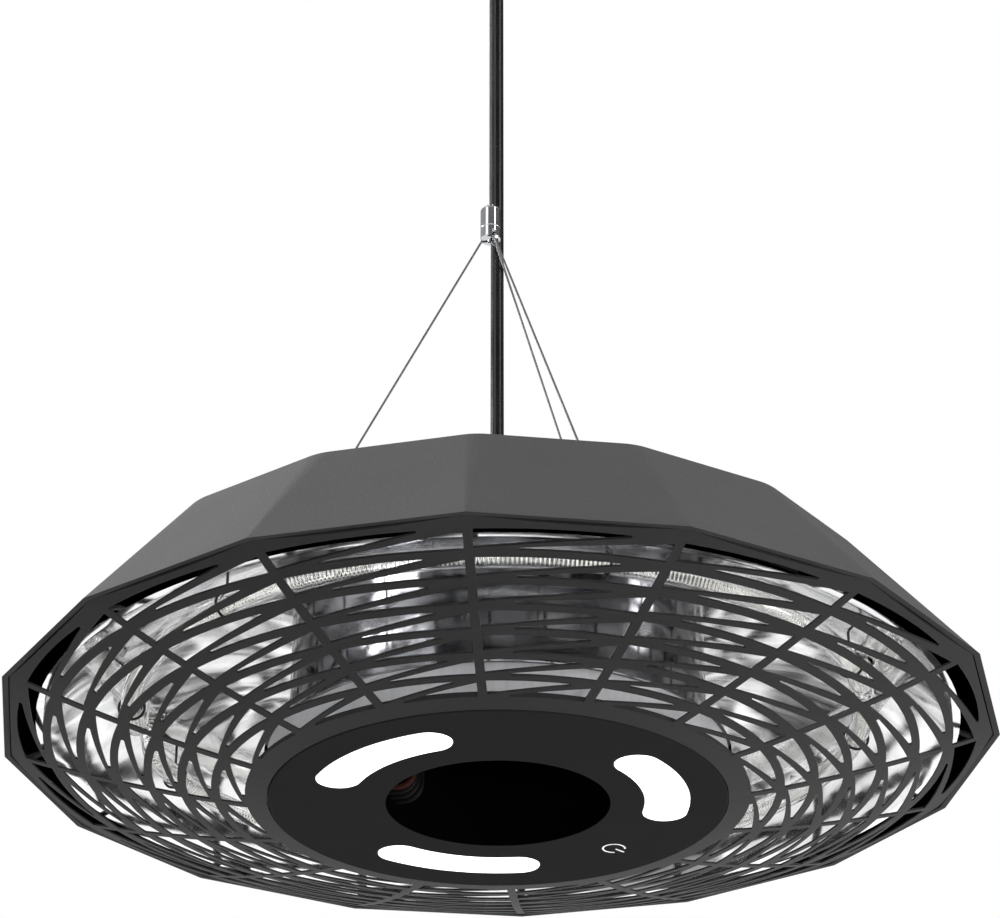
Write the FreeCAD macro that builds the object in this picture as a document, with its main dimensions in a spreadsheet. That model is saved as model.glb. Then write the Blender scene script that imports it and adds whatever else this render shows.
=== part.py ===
import FreeCAD, Part
import math
import os
import re

import Sketcher
from FreeCAD import Placement, Rotation, Vector

# Infrared ceiling heater: a sixteen-sided shade over a slotted grille, hung from a ceiling fitting by one
# wire, a wire gripper and three bridle wires. Millimetres and degrees. The origin is the middle of the
# ceiling face and +Z points up, so the heater hangs below at negative Z.

# Driving dimensions: name, value and what it is.
SIZES = [
    ("facets", 16, "sides of the shade"),
    ("rim_drop", 670, "ceiling to the shade's lower edge"),
    ("rim_radius", 300, "lower corners of the shade from its axis"),
    ("crown_radius", 228, "upper corners of the shade from its axis"),
    ("shade_height", 87.6, "height of the shade"),
    ("shade_wall", 1.2, "sheet of the shade"),
    ("rim_round", 2, "rounding of the shade's corners at its lower edge"),
    ("crown_round", 30, "rounding of the shade's corners at its top"),
    ("lip_width", 3.6, "turned-in lip at the shade's lower edge"),
    ("lip_wall", 1.4, "thickness of that lip"),
    ("crown_opening", 190, "radius of the service opening in the shade's top"),
    ("seat_gap", 0.3, "play between pieces that seat in each other"),
    ("plate_lap", 14, "overlap of the top plate on the shade"),
    ("plate_wall", 1.5, "sheet of the top plate"),
    ("plate_screws", 8, "screws round the top plate"),
    ("screw_radius", 2, "shank of the screws"),
    ("screw_play", 0.2, "play of a screw in its hole"),
    ("screw_head", 4, "radius of the screw heads"),
    ("screw_crown", 2.4, "height of the screw heads"),
    ("screw_length", 8, "shank length of the screws"),
    ("grille_gap", 0.7, "gap from the lip to the grille"),
    ("grille_rise", 0.6, "grille edge above the shade's lower edge"),
    ("grille_sheet", 1.2, "sheet of the grille"),
    ("dish_curve", 930, "radius of the grille's dish"),
    ("grille_eye", 137.4, "radius of the grille's middle opening"),
    ("grille_border", 9.7, "plain border from the grille's corners to the slots"),
    ("slot_inner", 150.4, "inner radius of the slot field"),
    ("slot_rows", 7, "rows of slots from rim to panel"),
    ("ring_bar", 4.9, "width of the ring bars between rows"),
    ("spoke_width", 5.2, "width of the spokes"),
    ("tip_share", 0.76, "share of a sector that a slot reaches across"),
    ("tip_width", 1.8, "width of a slot at its tip"),
    ("tip_round", 0.95, "radius of those tips"),
    ("bead_margin", 0.7, "innermost slots to the bead round the grille's eye"),
    ("bead_wall", 1.2, "wall of that bead"),
    ("bead_height", 2.6, "height of that bead"),
    ("heel_step", 1.8, "slat width left beside a slot's wide end"),
    ("slat_curve", 1.8, "slat bend radius as a multiple of its row radius"),
    ("bracket_width", 5, "width of the rim brackets"),
    ("bracket_sheet", 1, "sheet of the rim brackets"),
    ("bracket_reach", 12, "length of a bracket's foot on the grille"),
    ("panel_gap", 0.6, "groove between the grille and the panel"),
    ("panel_proud", 0.6, "panel face below the grille's inner edge"),
    ("panel_wall", 2.5, "wall of the panel"),
    ("panel_depth", 9, "height of the panel's skirts"),
    ("well_radius", 66.6, "radius of the panel's middle hole"),
    ("lamp_count", 3, "lamp windows in the panel"),
    ("lamp_radius", 100.8, "middle line of the lamp windows"),
    ("lamp_width", 27, "width of a lamp window"),
    ("lamp_span", 44.6, "angle between a window's end centres"),
    ("lamp_angle", 108.2, "direction of the first lamp window"),
    ("lamp_flange", 1.8, "flange round the back of a diffuser"),
    ("lamp_flange_wall", 1.5, "thickness of that flange"),
    ("board_wall", 1.6, "thickness of the circuit boards"),
    ("key_angle", 48, "direction of the touch key"),
    ("key_board", 13, "radius of the touch board"),
    ("carrier_wall", 1, "sheet of the panel carrier"),
    ("carrier_foot", 9, "foot of the carrier on the grille's inner ring"),
    ("shelf_drop", 9, "carrier shelf below the shade's lower edge"),
    ("drum_radius", 126, "radius of the polished drum"),
    ("drum_wall", 0.8, "sheet of the drum"),
    ("drum_top", 52, "top of the drum above the shade's lower edge"),
    ("drum_flange", 14, "width of the drum's top flange"),
    ("drum_foot", 14, "width of the drum's bright foot flange"),
    ("well_wall", 1.2, "wall of the well"),
    ("well_top", 40, "inner roof of the well above the lower edge"),
    ("reflector_sheet", 0.8, "sheet of the reflector"),
    ("reflector_flat", 150, "radius where the reflector starts to curve"),
    ("reflector_margin", 20.2, "grille corners to the reflector's edge"),
    ("reflector_lip", 4.5, "flat lip round the reflector"),
    ("reflector_edge", 0.7, "height of that lip above the lower edge"),
    ("tube_inset", 55.5, "reflector's edge to the middle of the heating tubes"),
    ("tube_height", 15, "height of the tube ring above the lower edge"),
    ("tube_radius", 6.5, "radius of a quartz tube"),
    ("tube_wall", 1.2, "wall of a quartz tube"),
    ("tube_bend", 16, "bend radius at the tube ends"),
    ("tube_parting", 175, "direction of the parting between the tubes"),
    ("tube_clear", 8, "angle from the parting to a tube's bend"),
    ("coil_radius", 4.2, "radius of the filament coil"),
    ("cap_radius", 9, "radius of the ceramic tube ends"),
    ("cap_height", 16, "height of the ceramic tube ends"),
    ("cap_depth", 9, "depth of the tube in its ceramic end"),
    ("clip_wire", 0.8, "radius of the tube clips' wire"),
    ("clip_near", 14, "angle from the parting to the nearest clip"),
    ("clip_first", 55, "angle from the parting to the second clip"),
    ("clip_second", 113.7, "angle from the parting to the third clip"),
    ("post_count", 6, "support posts"),
    ("post_ring", 119, "radius of the ring of posts"),
    ("post_radius", 5, "radius of a post"),
    ("hang_x", -5, "hanging axis beside the shade's axis"),
    ("lug_ring", 153.8, "radius of the ring of eyebolts"),
    ("lug_angle", 55.2, "direction of the first eyebolt"),
    ("lug_collar", 3, "height of an eyebolt's collar"),
    ("lug_collar_radius", 5.5, "radius of an eyebolt's collar"),
    ("lug_eye", 5, "ring radius of an eyebolt"),
    ("lug_wire", 1.6, "half thickness of an eyebolt's ring"),
    ("lug_shank", 9, "length of an eyebolt's shank"),
    ("nut_radius", 4.2, "corner radius of the eyebolt nuts"),
    ("nut_height", 3.2, "height of the eyebolt nuts"),
    ("bridle_wire", 0.75, "radius of the bridle wires"),
    ("bridle_loop", 4.5, "ring radius of a bridle wire's loop"),
    ("bridle_pair", 0.78, "half the distance between a loop's two wires"),
    ("neck_bend", 4, "bend radius where a loop closes"),
    ("sleeve_radius", 2.2, "radius of a crimp sleeve"),
    ("sleeve_length", 9, "length of a crimp sleeve"),
    ("grip_base", 364, "underside of the gripper above the lower edge"),
    ("grip_radius", 6.7, "radius of the gripper"),
    ("collar_height", 9, "height of the gripper's collar"),
    ("grip_height", 16.9, "height of the gripper's body"),
    ("grip_shoulder", 2, "chamfer on top of the gripper"),
    ("grip_hook", 4.4, "radius where the bridle wires enter the collar"),
    ("hook_slot", 2.4, "width of the collar's slots"),
    ("hook_depth", 6, "height of the collar's slots"),
    ("stop_radius", 2, "radius of the hanging wire's end stop"),
    ("stop_length", 5, "length of that end stop"),
    ("stop_play", 0.6, "play round the end stop in the collar"),
    ("wire_radius", 1, "radius of the hanging wire"),
    ("wire_play", 0.4, "play of the hanging wire in the gripper"),
    ("crimp_play", 0.05, "play in a crimp"),
    ("nozzle_radius", 2.8, "radius of the gripper's release nozzle"),
    ("nozzle_height", 2.2, "height of the nozzle above the gripper"),
    ("nozzle_depth", 4, "depth of the nozzle in the gripper"),
    ("nozzle_travel", 1.5, "press of the nozzle"),
    ("cord_radius", 4.35, "radius of the power cord"),
    ("cord_x", -1.4, "cord axis along X"),
    ("cord_y", 15.7, "cord axis along Y"),
    ("cord_tail", 10, "cord inside the heater, below the top plate"),
    ("cord_play", 0.2, "play of the cord in the gland"),
    ("gland_radius", 12, "corner radius of the gland's hexagon"),
    ("gland_hex", 5, "height of the gland's hexagon"),
    ("gland_dome", 9.5, "radius of the gland's dome"),
    ("gland_height", 16, "height of the gland above the plate"),
    ("gland_thread", 8, "radius of the gland's thread"),
    ("gland_length", 9, "length of the gland's thread"),
    ("relief_length", 26, "length of the tapered bend relief"),
    ("relief_wall", 1, "wall at the relief's thin end"),
    ("terminal_length", 46, "length of the terminal block"),
    ("terminal_width", 20, "width of the terminal block"),
    ("terminal_height", 17, "height of the terminal block"),
    ("terminal_offset", 42, "middle of the terminal block from the axis"),
    ("control_inner", 78, "inner radius of the control board"),
    ("control_outer", 116, "outer radius of the control board"),
    ("control_lift", 8, "height of the control board's posts"),
    ("control_span", 130, "angle of the control board"),
    ("control_post", 3, "radius of the control board's posts"),
    ("relay_side", 18, "side of the relays"),
    ("relay_height", 15, "height of the relays"),
    ("cutout_radius", 8, "radius of the thermal cut-out"),
    ("cutout_height", 10, "height of the thermal cut-out"),
    ("cutout_ring", 138, "distance of the thermal cut-out from the axis"),
    ("lead_radius", 2.2, "radius of the sleeved leads in the well"),
    ("lead_ring", 51, "distance of those leads from the axis"),
    ("lead_angle", 160, "direction of the first lead"),
    ("lead_step", 7, "angle from lead to lead"),
    ("lead_bend", 9, "bend radius of the leads"),
    ("lead_low", 25, "level of the leads below the lower edge"),
    ("lead_count", 4, "leads in the well"),
    ("canopy_radius", 53, "radius of the ceiling plate"),
    ("canopy_plate", 2, "thickness of the ceiling plate"),
    ("canopy_depth", 42, "depth of the ceiling cover"),
    ("canopy_wall", 1.2, "wall of the ceiling cover"),
    ("canopy_play", 1.5, "play between ceiling plate and cover"),
    ("canopy_round", 10, "rounding of the cover's lower edge"),
    ("outlet_radius", 16, "radius of the cover's outlet"),
    ("outlet_y", 7.5, "middle of the outlet along Y"),
    ("fixing_spacing", 70, "distance between the two fixing holes"),
    ("fixing_radius", 2.75, "radius of the fixing holes"),
    ("entry_radius", 7, "radius of the supply cable's entry hole"),
    ("entry_y", -26, "middle of the entry hole along Y"),
    ("ear_width", 12, "width of the ceiling plate's ears"),
    ("ear_height", 16, "height of the ceiling plate's ears"),
    ("ear_wall", 1.5, "sheet of the ceiling plate's ears"),
    ("ear_screw", 1.5, "shank radius of the cover screws"),
    ("ear_screw_head", 3, "head radius of the cover screws"),
    ("ball_drop", 26, "ball of the hanging wire below the ceiling"),
    ("ball_radius", 4, "radius of that ball"),
    ("socket_radius", 7, "outside of the ball socket"),
    ("socket_mouth", 2.8, "mouth radius of the ball socket"),
    ("socket_flare", 4.4, "radius of the mouth's lower edge"),
    ("socket_length", 7, "socket below the ball's middle"),
    ("bush_radius", 8.2, "outside of the cord's ceiling bush"),
    ("bush_bore", 6.2, "bore of that bush"),
    ("bush_drop", 30, "lower end of that bush below the ceiling"),
    ("cord_head", 18, "upper end of the cord below the ceiling"),
]

doc = FreeCAD.newDocument("CeilingHeater")
sheet = doc.addObject("Spreadsheet::Sheet", "Sizes")
for row, (name, number, note) in enumerate(SIZES, start=1):
    sheet.set(f"A{row}", name)
    sheet.set(f"B{row}", str(number))
    sheet.setAlias(f"B{row}", name)
    sheet.set(f"C{row}", note)
doc.recompute()

NAMES = {name for name, _, _ in SIZES}
nodes = {}


def bind(text):
    """Point the size names in an expression at the sheet."""
    return re.sub(r"[a-z_]+", lambda word: "Sizes." * (word.group() in NAMES) + word.group(), text)


def size(text):
    """Work out an expression in millimetres or degrees."""
    return float(sheet.evalExpression(text))


# Derived places, measured from the shade's lower edge.
SECTOR = "(360/facets)"
SLOPE = "((rim_radius - crown_radius)/shade_height)"
WALL_FLAT = f"(shade_wall*sqrt(1 + {SLOPE}^2))"
GRILLE_RIM = "(rim_radius - lip_width - grille_gap)"
SLOT_OUTER = f"({GRILLE_RIM} - grille_border)"
REFLECTOR_RADIUS = f"({GRILLE_RIM} - reflector_margin)"
TUBE_RING = f"({REFLECTOR_RADIUS} - tube_inset)"
DISH_MIDDLE = f"(grille_rise + sqrt(dish_curve^2 - {GRILLE_RIM}^2))"
PANEL_RADIUS = "(grille_eye - panel_gap)"
CARRIER_INNER = f"({PANEL_RADIUS} + seat_gap)"
PLATE_TOP = "(shade_height + plate_wall)"
REFLECTOR_TURN = f"({REFLECTOR_RADIUS} - reflector_lip - reflector_flat)"
REFLECTOR_DROP = "(drum_top - reflector_edge)"
REFLECTOR_CURVE = f"(({REFLECTOR_TURN}^2 + {REFLECTOR_DROP}^2)/(2*{REFLECTOR_DROP}))"


def grille_under(radius):
    """Height of the grille's lower face at a radius."""
    return f"({DISH_MIDDLE} - sqrt(dish_curve^2 - ({radius})^2))"


def grille_over(radius):
    """Height of the grille's upper face at a radius."""
    return f"({DISH_MIDDLE} - sqrt((dish_curve - grille_sheet)^2 - ({radius})^2))"


def reflector_under(radius):
    """Height of the reflector's lower face on its curved part."""
    return f"(drum_top - {REFLECTOR_CURVE} + sqrt({REFLECTOR_CURVE}^2 - (({radius}) - reflector_flat)^2))"


PANEL_FACE = f"({grille_under('grille_eye')} - panel_proud)"
PANEL_BACK = f"({PANEL_FACE} + panel_wall)"
PANEL_TOP = f"({PANEL_FACE} + panel_depth)"
SHELF_TOP = "(-shelf_drop)"


def place(item, x="0", y="0", z="0", turn="0"):
    """Bind an object's position, and its turn about Z, to the sheet."""
    item.Placement = Placement(Vector(), Rotation(Vector(0, 0, 1), size(turn)))
    for axis, text in (("x", x), ("y", y), ("z", z)):
        item.setExpression(f"Placement.Base.{axis}", bind(text))
    if turn != "0":
        item.setExpression("Placement.Rotation.Angle", bind(turn))
    return item


def hang(item, x="0", y="0", turn="0"):
    """Place an object that is measured from the shade's lower edge."""
    return place(item, x, y, "-rim_drop", turn)


def node(label, item):
    """Keep an object as a sub-part under its own name."""
    item.Label = label
    nodes[label] = item
    return item


def new_body(label):
    """Start the body of a sub-part."""
    return node(label, doc.addObject("PartDesign::Body", label))


def origin_part(body, role):
    """Find one of a body's origin planes or axes."""
    return [part for part in body.Origin.OriginFeatures if part.Role == role][0]


def sketch_on(body, plane="XY_Plane", lift="0"):
    """Start a sketch on one of the body's own planes."""
    sketch = body.newObject("Sketcher::SketchObject", f"{body.Name}_sketch")
    sketch.AttachmentSupport = [(origin_part(body, plane), "")]
    sketch.MapMode = "FlatFace"
    sketch.setExpression("AttachmentOffset.Base.z", bind(lift))
    return sketch


def tie(sketch, rules):
    """Add constraints in one go, each with the expression that drives it or None."""
    first = sketch.ConstraintCount
    sketch.addConstraint([rule for rule, _ in rules])
    for index, (_, text) in enumerate(rules, start=first):
        if text:
            sketch.setExpression(f"Constraints[{index}]", bind(text))


def pinned(edge, end, x, y):
    """Rules that hold a sketch point at expressions for its two coordinates."""
    return [(Sketcher.Constraint("DistanceX", -1, 1, edge, end, size(x)), x),
            (Sketcher.Constraint("DistanceY", -1, 1, edge, end, size(y)), y)]


def rounded(edge, radius):
    """Rule that holds the radius of a circle or arc at an expression."""
    return (Sketcher.Constraint("Radius", edge, size(radius)), radius)


def arc_between(start, end, radius, turn):
    """Make the short arc from start to end; turn is 1 anticlockwise and -1 clockwise."""
    chord = end - start
    rise = math.sqrt(radius ** 2 - (chord.Length / 2) ** 2)
    across = Vector(-chord.y, chord.x, 0).normalize()
    middle = (start + end) * 0.5 + across * rise * turn
    first, last = (start, end) if turn > 0 else (end, start)
    angles = [math.atan2(point.y - middle.y, point.x - middle.x) for point in (first, last)]
    return Part.ArcOfCircle(Part.Circle(middle, Vector(0, 0, 1), radius), *angles)


def outline(sketch, corners, bends=None):
    """Draw a closed outline through corners; bends gives a side's radius and turn where it is an arc."""
    bends = bends or {}
    points = [Vector(size(x), size(y), 0) for x, y in corners]
    ends = []
    for side, start in enumerate(points):
        finish = points[(side + 1) % len(points)]
        radius, turn = bends.get(side, (None, 1))
        curve = arc_between(start, finish, size(radius), turn) if radius else Part.LineSegment(start, finish)
        ends.append((sketch.addGeometry(curve, False), turn))
    rules = []
    for side, (edge, turn) in enumerate(ends):
        before, before_turn = ends[side - 1]
        start_end = 1 if turn > 0 else 2
        before_end = 2 if before_turn > 0 else 1
        rules.append((Sketcher.Constraint("Coincident", before, before_end, edge, start_end), None))
        rules += pinned(edge, start_end, *corners[side])
        if side in bends:
            rules.append(rounded(edge, bends[side][0]))
    tie(sketch, rules)
    return sketch


def circle(sketch, radius, x="0", y="0"):
    """Draw a circle."""
    edge = sketch.addGeometry(Part.Circle(Vector(size(x), size(y), 0), Vector(0, 0, 1), size(radius)), False)
    tie(sketch, pinned(edge, 3, x, y) + [rounded(edge, radius)])
    return sketch


def polygon(sketch, radius, sides="facets", x="0", y="0"):
    """Draw a regular polygon with a corner on the X axis."""
    steps = range(round(size(sides)))
    corners = [(f"{x} + {radius}*cos({i}*360/{sides})", f"{y} + {radius}*sin({i}*360/{sides})") for i in steps]
    return outline(sketch, corners)


def rounded_polygon(sketch, radius, rounding):
    """Draw the shade's polygon with each corner turned on a radius."""
    half = "(180/facets)"
    middle = f"({radius} - {rounding}/cos({half}))"
    corners = []
    bends = {}
    for i in range(round(size("facets"))):
        for sign in ("-", "+"):
            heading = f"({i}*{SECTOR} {sign} {half})"
            corners.append((f"{middle}*cos({i}*{SECTOR}) + {rounding}*cos{heading}",
                            f"{middle}*sin({i}*{SECTOR}) + {rounding}*sin{heading}"))
        bends[2*i] = (rounding, 1)
    return outline(sketch, corners, bends)


def rectangle(sketch, x_low, y_low, x_high, y_high):
    """Draw an upright rectangle."""
    return outline(sketch, [(x_low, y_low), (x_high, y_low), (x_high, y_high), (x_low, y_high)])


def pad(body, sketch, length, both=False):
    """Raise a sketch along its normal, or half to each side."""
    feature = body.newObject("PartDesign::Pad", f"{body.Name}_pad")
    feature.Profile = sketch
    feature.SideType = "Symmetric" if both else "One side"
    feature.setExpression("Length", bind(length))
    return feature


def pocket(body, sketch, depth=None):
    """Cut a sketch into the body against its normal, right through where no depth is given."""
    feature = body.newObject("PartDesign::Pocket", f"{body.Name}_pocket")
    feature.Profile = sketch
    if depth is None:
        feature.Type = "ThroughAll"
    else:
        feature.setExpression("Length", bind(depth))
    return feature


def revolve(body, corners, bends=None):
    """Turn an outline of radius and height about the body's Z axis."""
    sketch = outline(sketch_on(body, "XZ_Plane"), corners, bends)
    feature = body.newObject("PartDesign::Revolution", f"{body.Name}_turn")
    feature.Profile = sketch
    feature.ReferenceAxis = (sketch, ["V_Axis"])
    feature.Angle = 360
    return feature


def around(body, features, count):
    """Repeat features evenly round the body's Z axis."""
    feature = body.newObject("PartDesign::PolarPattern", f"{body.Name}_pattern")
    feature.Originals = features
    feature.Axis = (origin_part(body, "Z_Axis"), [""])
    feature.Angle = 360
    feature.setExpression("Occurrences", bind(count))
    body.Tip = feature
    return feature


# Shade: a loft between two polygons, hollowed, with a turned-in lip and a service opening.


def make_shade():
    """Pressed sixteen-sided shade."""
    body = new_body("shade")
    loft = body.newObject("PartDesign::AdditiveLoft", "shade_loft")
    loft.Profile = rounded_polygon(sketch_on(body), "rim_radius", "rim_round")
    loft.Sections = [rounded_polygon(sketch_on(body, lift="shade_height"), "crown_radius", "crown_round")]
    loft.Ruled = True
    hollow = body.newObject("PartDesign::SubtractiveLoft", "shade_hollow")
    hollow.Profile = rounded_polygon(sketch_on(body, lift="lip_wall"),
                                     f"(rim_radius - {WALL_FLAT} - {SLOPE}*lip_wall)", "rim_round")
    hollow.Sections = [rounded_polygon(sketch_on(body, lift="shade_height - shade_wall"),
                                       f"(crown_radius - {WALL_FLAT} + {SLOPE}*shade_wall)", "crown_round")]
    hollow.Ruled = True
    pocket(body, polygon(sketch_on(body, lift="lip_wall"), "(rim_radius - lip_width)"), "lip_wall")
    top = sketch_on(body, lift="shade_height")
    circle(top, "crown_opening")
    pocket(body, top, "shade_wall")
    holes = circle(sketch_on(body, lift="shade_height"), "screw_radius + screw_play",
                   "crown_opening + plate_lap/2")
    around(body, [pocket(body, holes, "shade_wall")], "plate_screws")
    hang(body)


# Grille: a shallow dish cut to the shade's polygon, with spokes at the corners and slanting slats between.


def slot_outlines(sketch):
    """Draw one sector's slots: in each row two wedges that a slanting slat parts."""
    rows = range(round(size("slot_rows")))
    band = f"(({SLOT_OUTER} - slot_inner - (slot_rows - 1)*ring_bar)/slot_rows)"
    half = "(spoke_width/2)"
    far_tip = f"(tip_share*{SECTOR})"
    near_tip = f"((1 - tip_share)*{SECTOR})"

    def beside_first(radius):
        return f"sqrt({radius}^2 - {half}^2)", half

    def beside_last(radius):
        along = f"sqrt({radius}^2 - {half}^2)"
        return (f"{along}*cos({SECTOR}) + {half}*sin({SECTOR})",
                f"{along}*sin({SECTOR}) - {half}*cos({SECTOR})")

    def polar(radius, angle):
        return f"{radius}*cos({angle})", f"{radius}*sin({angle})"

    for row in rows:
        outer = f"({SLOT_OUTER} - {row}*({band} + ring_bar))"
        inner = f"({outer} - {band})"
        slat = f"slat_curve*{outer}"
        outline(sketch,
                [beside_first(outer), polar(outer, far_tip), polar(f"({outer} - tip_width)", far_tip),
                 beside_first(f"({inner} + heel_step)")],
                {0: (outer, 1), 1: ("tip_round", 1), 2: (slat, -1)})
        outline(sketch,
                [beside_last(inner), polar(inner, near_tip), polar(f"({inner} + tip_width)", near_tip),
                 beside_last(f"({outer} - heel_step)")],
                {0: (inner, -1), 1: ("tip_round", -1), 2: (slat, 1)})
    return sketch


def make_grille():
    """Slotted grille dish."""
    body = new_body("grille")
    beyond = "(rim_radius + lip_width)"
    revolve(body,
            [("grille_eye", grille_under("grille_eye")), (beyond, grille_under(beyond)),
             (beyond, grille_over(beyond)), ("grille_eye", grille_over("grille_eye"))],
            {0: ("dish_curve", 1), 2: ("(dish_curve - grille_sheet)", -1)})
    bead_outer = "(slot_inner - bead_margin)"
    bead_inner = f"({bead_outer} - bead_wall)"
    foot, top = f"({grille_over(bead_inner)} - grille_sheet/2)", f"({grille_over(bead_inner)} + bead_height)"
    revolve(body, [(bead_inner, foot), (bead_outer, foot), (bead_outer, top), (bead_inner, top)])
    trim = sketch_on(body, lift="shade_height")
    circle(trim, "(rim_radius*2)")
    polygon(trim, GRILLE_RIM)
    pocket(body, trim)
    slots = slot_outlines(sketch_on(body, lift="shade_height"))
    around(body, [pocket(body, slots)], "facets")
    hang(body)


def make_rim_brackets():
    """Bent straps that tie the grille's rim, the reflector's lip and the shade together."""
    body = new_body("rim_brackets")
    heel = f"({GRILLE_RIM} - bracket_reach)"
    toe = f"({GRILLE_RIM} - bracket_sheet*{SLOPE})"
    lip_top = "(reflector_edge + reflector_sheet)"
    step = f"({heel} - ({REFLECTOR_RADIUS} + bracket_sheet))"
    corners = [
        (heel, grille_over(heel)),
        (toe, f"{grille_over(toe)} + crimp_play"),
        (toe, f"{grille_over(toe)} + crimp_play + bracket_sheet"),
        (f"{heel} + bracket_sheet", f"{grille_over(heel)} + 2*bracket_sheet"),
        (f"{heel} + bracket_sheet - {step}", f"{lip_top} + bracket_sheet"),
        (f"{REFLECTOR_RADIUS} - reflector_lip + bracket_sheet", f"{lip_top} + bracket_sheet"),
        (f"{REFLECTOR_RADIUS} - reflector_lip + bracket_sheet", lip_top),
        (f"{heel} - {step}", lip_top),
    ]
    strap = pad(body, outline(sketch_on(body, "XZ_Plane"), corners), "bracket_width", both=True)
    around(body, [strap], "facets/2")
    hang(body)


# Panel, lamps and the electronics behind them.


def lamp_outline(sketch, grow):
    """Draw an arc-shaped window with round ends, grown all round."""
    half = f"(lamp_width/2 + {grow})"
    outer = f"(lamp_radius + {half})"
    inner = f"(lamp_radius - {half})"

    def end(radius, sign):
        return f"{radius}*cos(lamp_span/2)", f"{sign}{radius}*sin(lamp_span/2)"

    def tip(sign):
        return (f"lamp_radius*cos(lamp_span/2) - {half}*sin(lamp_span/2)",
                f"{sign}(lamp_radius*sin(lamp_span/2) + {half}*cos(lamp_span/2))")

    return outline(sketch,
                   [end(outer, "-"), end(outer, ""), tip(""), end(inner, ""), end(inner, "-"), tip("-")],
                   {0: (outer, 1), 1: (half, 1), 2: (half, 1), 3: (inner, -1), 4: (half, 1), 5: (half, 1)})


def make_panel():
    """Moulded control panel with its lamp windows and middle hole."""
    body = new_body("control_panel")
    lip = "(well_radius + panel_wall)"
    skirt = f"({PANEL_RADIUS} - panel_wall)"
    revolve(body, [("well_radius", PANEL_FACE), (PANEL_RADIUS, PANEL_FACE), (PANEL_RADIUS, PANEL_TOP),
                   (skirt, PANEL_TOP), (skirt, PANEL_BACK), (lip, PANEL_BACK), (lip, PANEL_TOP),
                   ("well_radius", PANEL_TOP)])
    window = lamp_outline(sketch_on(body, lift=PANEL_BACK), "0")
    around(body, [pocket(body, window, "panel_wall")], "lamp_count")
    hang(body, turn="lamp_angle")

    body = new_body("lamp_diffusers")
    lens = pad(body, lamp_outline(sketch_on(body, lift=PANEL_FACE), "-seat_gap/2"), "panel_wall")
    flange = pad(body, lamp_outline(sketch_on(body, lift=PANEL_BACK), "lamp_flange"), "lamp_flange_wall")
    around(body, [lens, flange], "lamp_count")
    hang(body, turn="lamp_angle")

    body = new_body("lamp_boards")
    board = sketch_on(body, lift=f"{PANEL_BACK} + lamp_flange_wall")
    around(body, [pad(body, lamp_outline(board, "0"), "board_wall")], "lamp_count")
    hang(body, turn="lamp_angle")

    body = new_body("touch_board")
    pad(body, circle(sketch_on(body, lift=PANEL_BACK), "key_board", "lamp_radius"), "board_wall")
    hang(body, turn="key_angle")


def make_carrier():
    """Pressed carrier that holds the panel below and the drum above."""
    body = new_body("panel_carrier")
    outer = f"({CARRIER_INNER} + carrier_wall)"
    toe = f"({outer} + carrier_foot)"
    foot = f"({grille_over(toe)} + seat_gap)"
    inner = "(well_radius + seat_gap + well_wall + seat_gap)"
    revolve(body, [(inner, f"{SHELF_TOP} - carrier_wall"), (CARRIER_INNER, f"{SHELF_TOP} - carrier_wall"),
                   (CARRIER_INNER, foot), (toe, foot), (toe, f"{foot} + carrier_wall"),
                   (outer, f"{foot} + carrier_wall"), (outer, SHELF_TOP), (inner, SHELF_TOP)])
    hang(body)


def make_drum():
    """Polished drum between the carrier's shelf and the reflector."""
    body = new_body("drum")
    inner = "(drum_radius - drum_wall)"
    toe = "(drum_radius + drum_foot)"
    top = "(drum_radius - drum_flange)"
    revolve(body, [(inner, SHELF_TOP), (toe, SHELF_TOP), (toe, f"{SHELF_TOP} + drum_wall"),
                   ("drum_radius", f"{SHELF_TOP} + drum_wall"), ("drum_radius", "drum_top"), (top, "drum_top"),
                   (top, "drum_top - drum_wall"), (inner, "drum_top - drum_wall")])
    hang(body)


def lead_heading(index):
    """Direction of one lead in the well."""
    return f"(lead_angle + {index}*lead_step)"


def make_well():
    """Black well behind the panel's middle hole, with a slot for the leads."""
    body = new_body("centre_well")
    bore = "(well_radius + seat_gap)"
    outer = f"({bore} + well_wall)"
    revolve(body, [(bore, PANEL_TOP), (outer, PANEL_TOP), (outer, "well_top + well_wall"),
                   ("0", "well_top + well_wall"), ("0", "well_top"), (bore, "well_top")])
    slot = sketch_on(body, "YZ_Plane", lift=outer)
    reach = f"({bore}*sin((lead_count - 1)*lead_step/2) + lead_radius + seat_gap)"
    rectangle(slot, f"-{reach}", "-lead_low - lead_radius - seat_gap", reach,
              "-lead_low + lead_radius + seat_gap")
    pocket(body, slot, "lead_ring/2")
    hang(body, turn="lead_angle + (lead_count - 1)*lead_step/2")


def tube_shape(points, bends, radius):
    """Sweep a round section along straight runs joined by arcs given by their middle points."""
    edges = []
    for index, (start, end) in enumerate(zip(points, points[1:])):
        middle = bends.get(index)
        curve = Part.Arc(start, middle, end) if middle else Part.LineSegment(start, end)
        edges.append(curve.toShape())
    path = Part.Wire(edges)
    across = (points[1] - points[0]).normalize()
    ring = Part.Wire(Part.Circle(points[0], across, radius).toShape())
    return path.makePipeShell([ring], True, True)


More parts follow.
